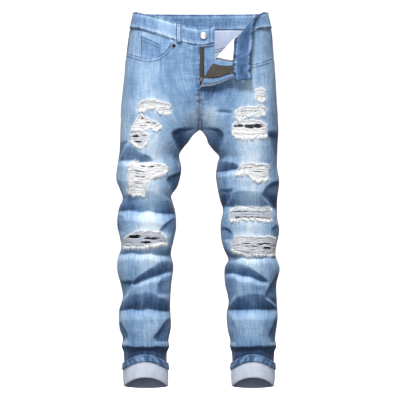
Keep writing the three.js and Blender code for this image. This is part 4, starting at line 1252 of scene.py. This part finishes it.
def loose_curls(bits, place, rip):
    for _ in range(int((rip["to"] - rip["from"]) * 0.45)):
        x = between(rip["from"] + 2, rip["to"] - 2)
        hi, lo = (float(v) for v in rip_edges(rip, np.array(x)))
        z = between(lo + rip["open"], hi)
        turn, long, bow = between(0, 2 * PI), between(2, 5), between(-1.5, 1.5)
        t = np.linspace(-0.5, 0.5, 5)
        px = x + long * t * math.cos(turn) - bow * (4 * t * t - 1) * math.sin(turn)
        pz = z + long * t * math.sin(turn) * 0.8 + bow * (4 * t * t - 1) * math.cos(turn)
        bits.tube((px, pz, 0.6 + 0.8 * np.cos(t * PI)), (0.2, 0.4, 0.42, 0.4, 0.2), between(0.5, 1), 3, place)


def warp_ends(bits, place, rip, z_high):
    """They hang from the upper edge into the hole, and lie in tufts over the cloth from the lower edge."""
    x = rip["from"] + 0.3
    while x < rip["to"]:
        top, low = (float(v) for v in rip_edges(rip, np.array(x)))
        tuft = 0.5 + 0.5 * float(noise(np.array(x / 2.7), np.array(z_high), 96))
        if rng.random() < 0.85:
            long, rise = between(1, 2.5) + 3.5 * tuft, between(1, 4)
            t = np.linspace(0, 1, 4)
            bits.tube((x + between(-1.8, 1.8) * (t - 0.3), top + rise - (long + rise) * t,
                       0.4 + 0.9 * np.sin(t * PI) - 0.3 * t), (0.2, 0.5, 0.4, 0.15), between(0.5, 1), 3,
                       place)
        if tuft < 0.42 and rng.random() < 0.85:
            x += 0.6
            continue
        long = between(1, 3) + 8 * tuft**1.5
        t = np.linspace(0, 1, 5)
        px = x + between(-1.6, 1.6) * t + between(-1, 1) * np.sin(t * PI)
        bits.tube((px, low + 3 - (long + 3) * t, 0.5 + 1.5 * np.sin(t * PI * 0.8)),
                  (0.4, 0.75, 0.75, 0.6, 0.25), between(0.7, 1), 3, place)
        x += between(0.5, 0.85)


def side_fray(bits, place, rip, z_high, z_low):
    """The two short sides fray outwards."""
    for x, way in ((rip["from"], -1), (rip["to"], 1)):
        z = z_high
        while z > z_low:
            t = np.linspace(0, 1, 4)
            long = between(1, 4.5)
            inside = float(rip["low"](np.array(x))) < z < float(rip["top"](np.array(x)))
            if inside:
                bits.tube((x + way * (long * t - 1.5), z + between(-1.2, 1.2) * t,
                           0.5 + 0.5 * np.sin(t * PI)),
                          (0.3, 0.4, 0.35, 0.15), between(0.6, 1), 3, place)
            z -= between(0.9, 1.8)


def torn(side):
    bits = Bits()
    place = on_side(side)
    for rip in RIPS[side]:
        span = np.linspace(rip["from"], rip["to"], 40)
        z_high, z_low = float(rip["top"](span).max()), float(rip["low"](span).min())
        cross_threads(bits, place, rip, z_high, z_low)
        loose_curls(bits, place, rip)
        warp_ends(bits, place, rip, z_high)
        side_fray(bits, place, rip, z_high, z_low)
    return bits.finish(f"torn_threads_{side}", WHITE_THREAD, "washed_denim")


TORN = {side: torn(side) for side in ("right", "left")}


# ------------------------------------------------------------------ stitches
def stitch_row(bits, path, pitch=5.2, length=3.5, radius=0.95, tone=0.3):
    """path(t) gives points for t from 0 to 1. Stitches lie along it, each dipping in at its ends."""
    t = np.linspace(0, 1, 400)
    points = path(t)
    run = np.concatenate([[0], np.cumsum(np.linalg.norm(np.diff(points, axis=0), axis=1))])
    count = int(run[-1] // pitch)
    for i in range(count):
        at = (i + 0.5) * pitch + np.array([-0.5, -0.2, 0.2, 0.5]) * length
        p = np.stack([np.interp(at, run, points[:, k]) for k in range(3)], -1)
        bits.tube(p, (radius * 0.45, radius, radius, radius * 0.45), tone + between(-0.2, 0.2))


def line(xs, zs, place):
    """A path on a surface through x and z given at even steps."""
    xs, zs = np.asarray(xs, float), np.asarray(zs, float)
    steps = np.linspace(0, 1, len(xs))
    return lambda t: place(np.interp(t, steps, xs), np.interp(t, steps, zs))


def outer_face(face, out=0.25):
    return lambda x, z: on_face(face, x, z, np.full(np.shape(x), out))


def turned_face(out=0.25):
    return lambda x, z: turned(x, z, np.full(np.shape(x), out))


def at_share(side, face, share, out=0.25):
    """A place round a panel by its share and height."""
    def place(offset, z):
        angle = (share + offset) * section(side, z)[3]
        return on_section(side, face, angle, z, np.full(np.shape(z), out))

    return place


front_bits, back_bits, band_bits, cuff_bits = Bits(), Bits(), Bits(), Bits()

# Pocket mouths: two rows beside the shaped edge.
for side in ("right", "left"):
    xs = np.linspace(75, 184, 60) if side == "right" else np.linspace(112, 184, 44)
    xs = xs[np.abs(xs) < 182]
    for inset in (2.4, 9.0):
        curve_z = SCOOP[side](xs)
        slope = np.gradient(curve_z, xs)
        nx, nz = slope / np.hypot(slope, 1), -1 / np.hypot(slope, 1)
        px, pz = xs + nx * inset, curve_z + nz * inset
        ok = px < (182 if side == "right" else 180)
        place = outer_face("front") if side == "right" else turned_face()
        stitch_row(front_bits, line(SIGN[side] * px[ok], pz[ok], place))
# The coin pocket's top and left edge.
for inset in (2.2, 11.0):
    xs = np.linspace(-147, -99, 20)
    stitch_row(front_bits, line(xs, coin_top(xs) - inset, outer_face("front", -1.8)))
stitch_row(front_bits, line([-144.5, -143.5], [-62, -104], outer_face("front", -1.8)))
# The seam below the fly and its J-shaped rows.
for inset in (-2.4, 2.4):
    stitch_row(front_bits, line([inset, inset * 1.05], [-206, -286], outer_face("front")))
for inset in (0, 6.5):
    turn = np.linspace(0, PI / 2, 14)
    jx = np.concatenate([[37 - inset, 37 - inset], 3 + (34 - inset) * np.cos(turn)])
    jz = np.concatenate([[-96, -140], -186 - (34 - inset) * np.sin(turn)])
    fine, coarse = np.linspace(0, 1, 60), np.linspace(0, 1, len(jx))
    stitch_row(front_bits, line(np.interp(fine, coarse, jx), np.interp(fine, coarse, jz), turned_face()))
# Side seams, inseams and the seat.
for side in ("right", "left"):
    for face, bits in (("front", front_bits), ("back", back_bits)):
        for offset in (0.985, 0.955) if face == "front" else (0.985,):
            zs = np.linspace(-320, -846, 60)
            stitch_row(bits, line(0 * zs, zs, at_share(side, face, offset)), tone=0.35)
        zs = np.linspace(-120, -260, 20)
        stitch_row(bits, line(0 * zs, zs, at_share(side, face, 0.014)), tone=0.4)
    for inset in (2.2, 8.2):
        xs = SIGN[side] * np.linspace(3, 176, 50)
        stitch_row(back_bits, line(xs, YOKE_SEAM(np.abs(xs)) - inset, outer_face("back")))
        stitch_row(back_bits, line([SIGN[side] * inset] * 2, [-112, -278], outer_face("back")))
        inner_xs = SIGN[side] * np.linspace(3, 120, 40)
        stitch_row(back_bits, line(inner_xs, YOKE_SEAM(np.abs(inner_xs)) + inset, outer_face("back", -1.8)))
    # Back pocket.
    inner, outer, low = 36.5, 155.5, -236
    for inset in (0, 6.5):
        px = np.array([inner + inset, inner + inset, POCKET_X, outer - inset, outer - inset])
        pz = np.array([-112, low + inset * 0.6, low - 17.5 + inset, low + inset * 0.6, -109])
        stitch_row(back_bits, line(SIGN[side] * px, pz, outer_face("back", 2.55)))
    for inset in (2.5, 12.5):
        px = np.array([36, 156])
        stitch_row(back_bits, line(SIGN[side] * px, pocket_top(px) - inset, outer_face("back", 2.55)))
# The waistband: a row beside each edge, outside and inside.
for share in (0.07, 0.93):
    for out in (1.35, -2.75):
        points = band.grid(np.array([[share]]))(np.array(out))[0]
        steps = np.linspace(0, 1, len(points))
        stitch_row(band_bits, lambda t: np.stack([np.interp(t, steps, points[:, k]) for k in range(3)], -1))
for x in (33.2, 24.0):
    stitch_row(band_bits, line([x, x], [-44, -81], outer_face("front", 1.35)), tone=0.4)
stitch_row(band_bits, line([-3, -3], [-46, -84], turned_face(1.35)))
# Belt loops: a row down each edge and a bar tack across each end.
for place, top, bottom in LOOPS.values():
    for w in (-4.4, 4.4):
        stitch_row(
            band_bits, lambda t: place(np.full(t.shape, w), top + (bottom - top) * t, loop_arch(t) + 1.55))
    for z in (top - 2.5, bottom + 2.5):
        for k in range(4):
            ends = np.array([-5.2, 0, 5.2])
            heights = z + 0.55 * (k - 1.5) + 0 * ends
            band_bits.tube(place(ends, heights, 4.5 + 0 * ends), 0.4, 0.35 + 0.15 * (k % 2))
# Cuffs: a row beside each edge of the hem band.
for side in ("right", "left"):
    for face in ("front", "back"):
        for below, out in ((2.6, 4.35), (HEM_BAND - 2.6, 5.3)):
            def path(t):
                height = cuff_top(face, np.sin(t * PI)) - below
                return on_section(side, face, t * PI, height, np.full(t.shape, out), False)

            stitch_row(cuff_bits, path, tone=0.45)
STITCHES = {
    "front": front_bits.finish("stitches_front", STITCH, "washed_denim"),
    "back": back_bits.finish("stitches_back", STITCH, "washed_denim"),
    "band": band_bits.finish("stitches_waistband", STITCH, "washed_denim"),
    "cuffs": cuff_bits.finish("stitches_cuffs", STITCH, "washed_denim"),
}

# ------------------------------------------------------------------ zip teeth and bar tacks
teeth = Bits()
TOOTH_PITCH = 2.25
for count, first, across, out, place in (
    (42, -92, (6.5, 8.2, 10.2), -3.6, lambda x, z, o: on_face("front", x, z, o)),
    (44, -88, (14.2, 12.4, 10.6), -4.6, turned),
):
    for i in range(count):
        height = np.full(3, first - TOOTH_PITCH * i)
        teeth.tube(place(np.array(across), height, np.full(3, out)), [0.8, 0.9, 0.55], 0.5)
ZIP_TEETH = teeth.finish("zip_teeth", BRASS, "zip_metal")

tacks = Bits()
for x, z in ((-66, -94), (-74, -90)):
    for k in range(5):
        tacks.tube(on_face("front", x + np.array([-1.5, 1.5]) + 0.3 * k, z + 1.2 * k + np.array([-2, 2]),
                           np.full(2, 0.9)),
                   0.5, 0.5)
tacks.finish("bar_tacks", BROWN_STITCH, "washed_denim")

# ------------------------------------------------------------------ metal kept from the CAD model
for node, material in (("button", SILVER), ("pocket_rivet", DARK_METAL), ("zip_slider", BRASS)):
    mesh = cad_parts[node].data
    mesh.materials.clear()
    mesh.materials.append(material)

# ------------------------------------------------------------------ the pieces that lie on some sheets
for side in ("right", "left"):
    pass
LYING_ON = {"waistband": [STITCHES["band"]], "zip_tape_left": [ZIP_TEETH], "cuff_left": [STITCHES["cuffs"]]}
for node, obj in SHEETS.items():
    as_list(LYING_ON.get(node, []))

# ------------------------------------------------------------------ stage, light and camera
FLOOR_Z = -1.03
SPOKES = 90
BOWL = [(0.0, 0.0), (4.0, 0.0), (8.0, 0.0), (11.0, 0.6), (13.0, 2.4), (14.0, 5.5), (14.0, 11)]
turns = [2 * PI * i / SPOKES for i in range(SPOKES)]
ring_points = [(r * math.cos(a), r * math.sin(a), FLOOR_Z + rise) for r, rise in BOWL for a in turns]
ring_faces = [
    (k * SPOKES + i, k * SPOKES + (i + 1) % SPOKES, (k + 1) * SPOKES + (i + 1) % SPOKES, (k + 1) * SPOKES + i)
    for k in range(len(BOWL) - 1)
    for i in range(SPOKES)
]
floor_mesh = bpy.data.meshes.new("studio_bowl")
floor_mesh.from_pydata(ring_points, [], ring_faces)
floor_mesh.polygons.foreach_set("use_smooth", np.ones(len(ring_faces), bool))
floor = bpy.data.objects.new("studio_bowl", floor_mesh)
bpy.context.scene.collection.objects.link(floor)
paper = Shade("studio_paper")
glow = paper.node("Emission", {"Color": (1, 1, 1, 1), "Strength": 0.9})
matt = paper.node("BsdfDiffuse", {"Color": (0.9, 0.9, 0.9, 1)})
paper.node("OutputMaterial", {"Surface": paper.node("AddShader", {0: glow, 1: matt})})
floor_mesh.materials.append(paper.material)
floor.visible_diffuse = False
floor.visible_glossy = False
floor.visible_shadow = False


def area_light(name, at, aim, size, power):
    data = bpy.data.lights.new(name, "AREA")
    data.shape, data.size, data.energy = "DISK", size, power
    obj = bpy.data.objects.new(name, data)
    obj.location = at
    obj.rotation_euler = (Vector(aim) - Vector(at)).to_track_quat("-Z", "Y").to_euler()
    bpy.context.scene.collection.objects.link(obj)


area_light("key", (-0.35, -2.1, 2.6), (0, 0, -0.45), 0.9, 150)
area_light("front", (-0.3, -5.0, -0.2), (0, 0, -0.5), 2.0, 52)
area_light("back", (0.8, 3.6, 2.2), (0, 0, -0.45), 2.0, 190)
world = bpy.data.worlds.new("studio_light")
bpy.context.scene.world = world
world.use_nodes = True
background = world.node_tree.nodes["Background"].inputs
background["Color"].default_value = (1, 1, 1, 1)
background["Strength"].default_value = 0.32

camera_data = bpy.data.cameras.new("camera")
camera_data.lens, camera_data.sensor_width = 300, 36
camera = bpy.data.objects.new("camera", camera_data)
camera.location = (0.0, -8.28, -0.466)
camera.rotation_euler = (PI / 2, 0, 0)
bpy.context.scene.collection.objects.link(camera)
bpy.context.scene.camera = camera
camera_data.clip_end = 60
bpy.context.scene.view_settings.view_transform = "Standard"
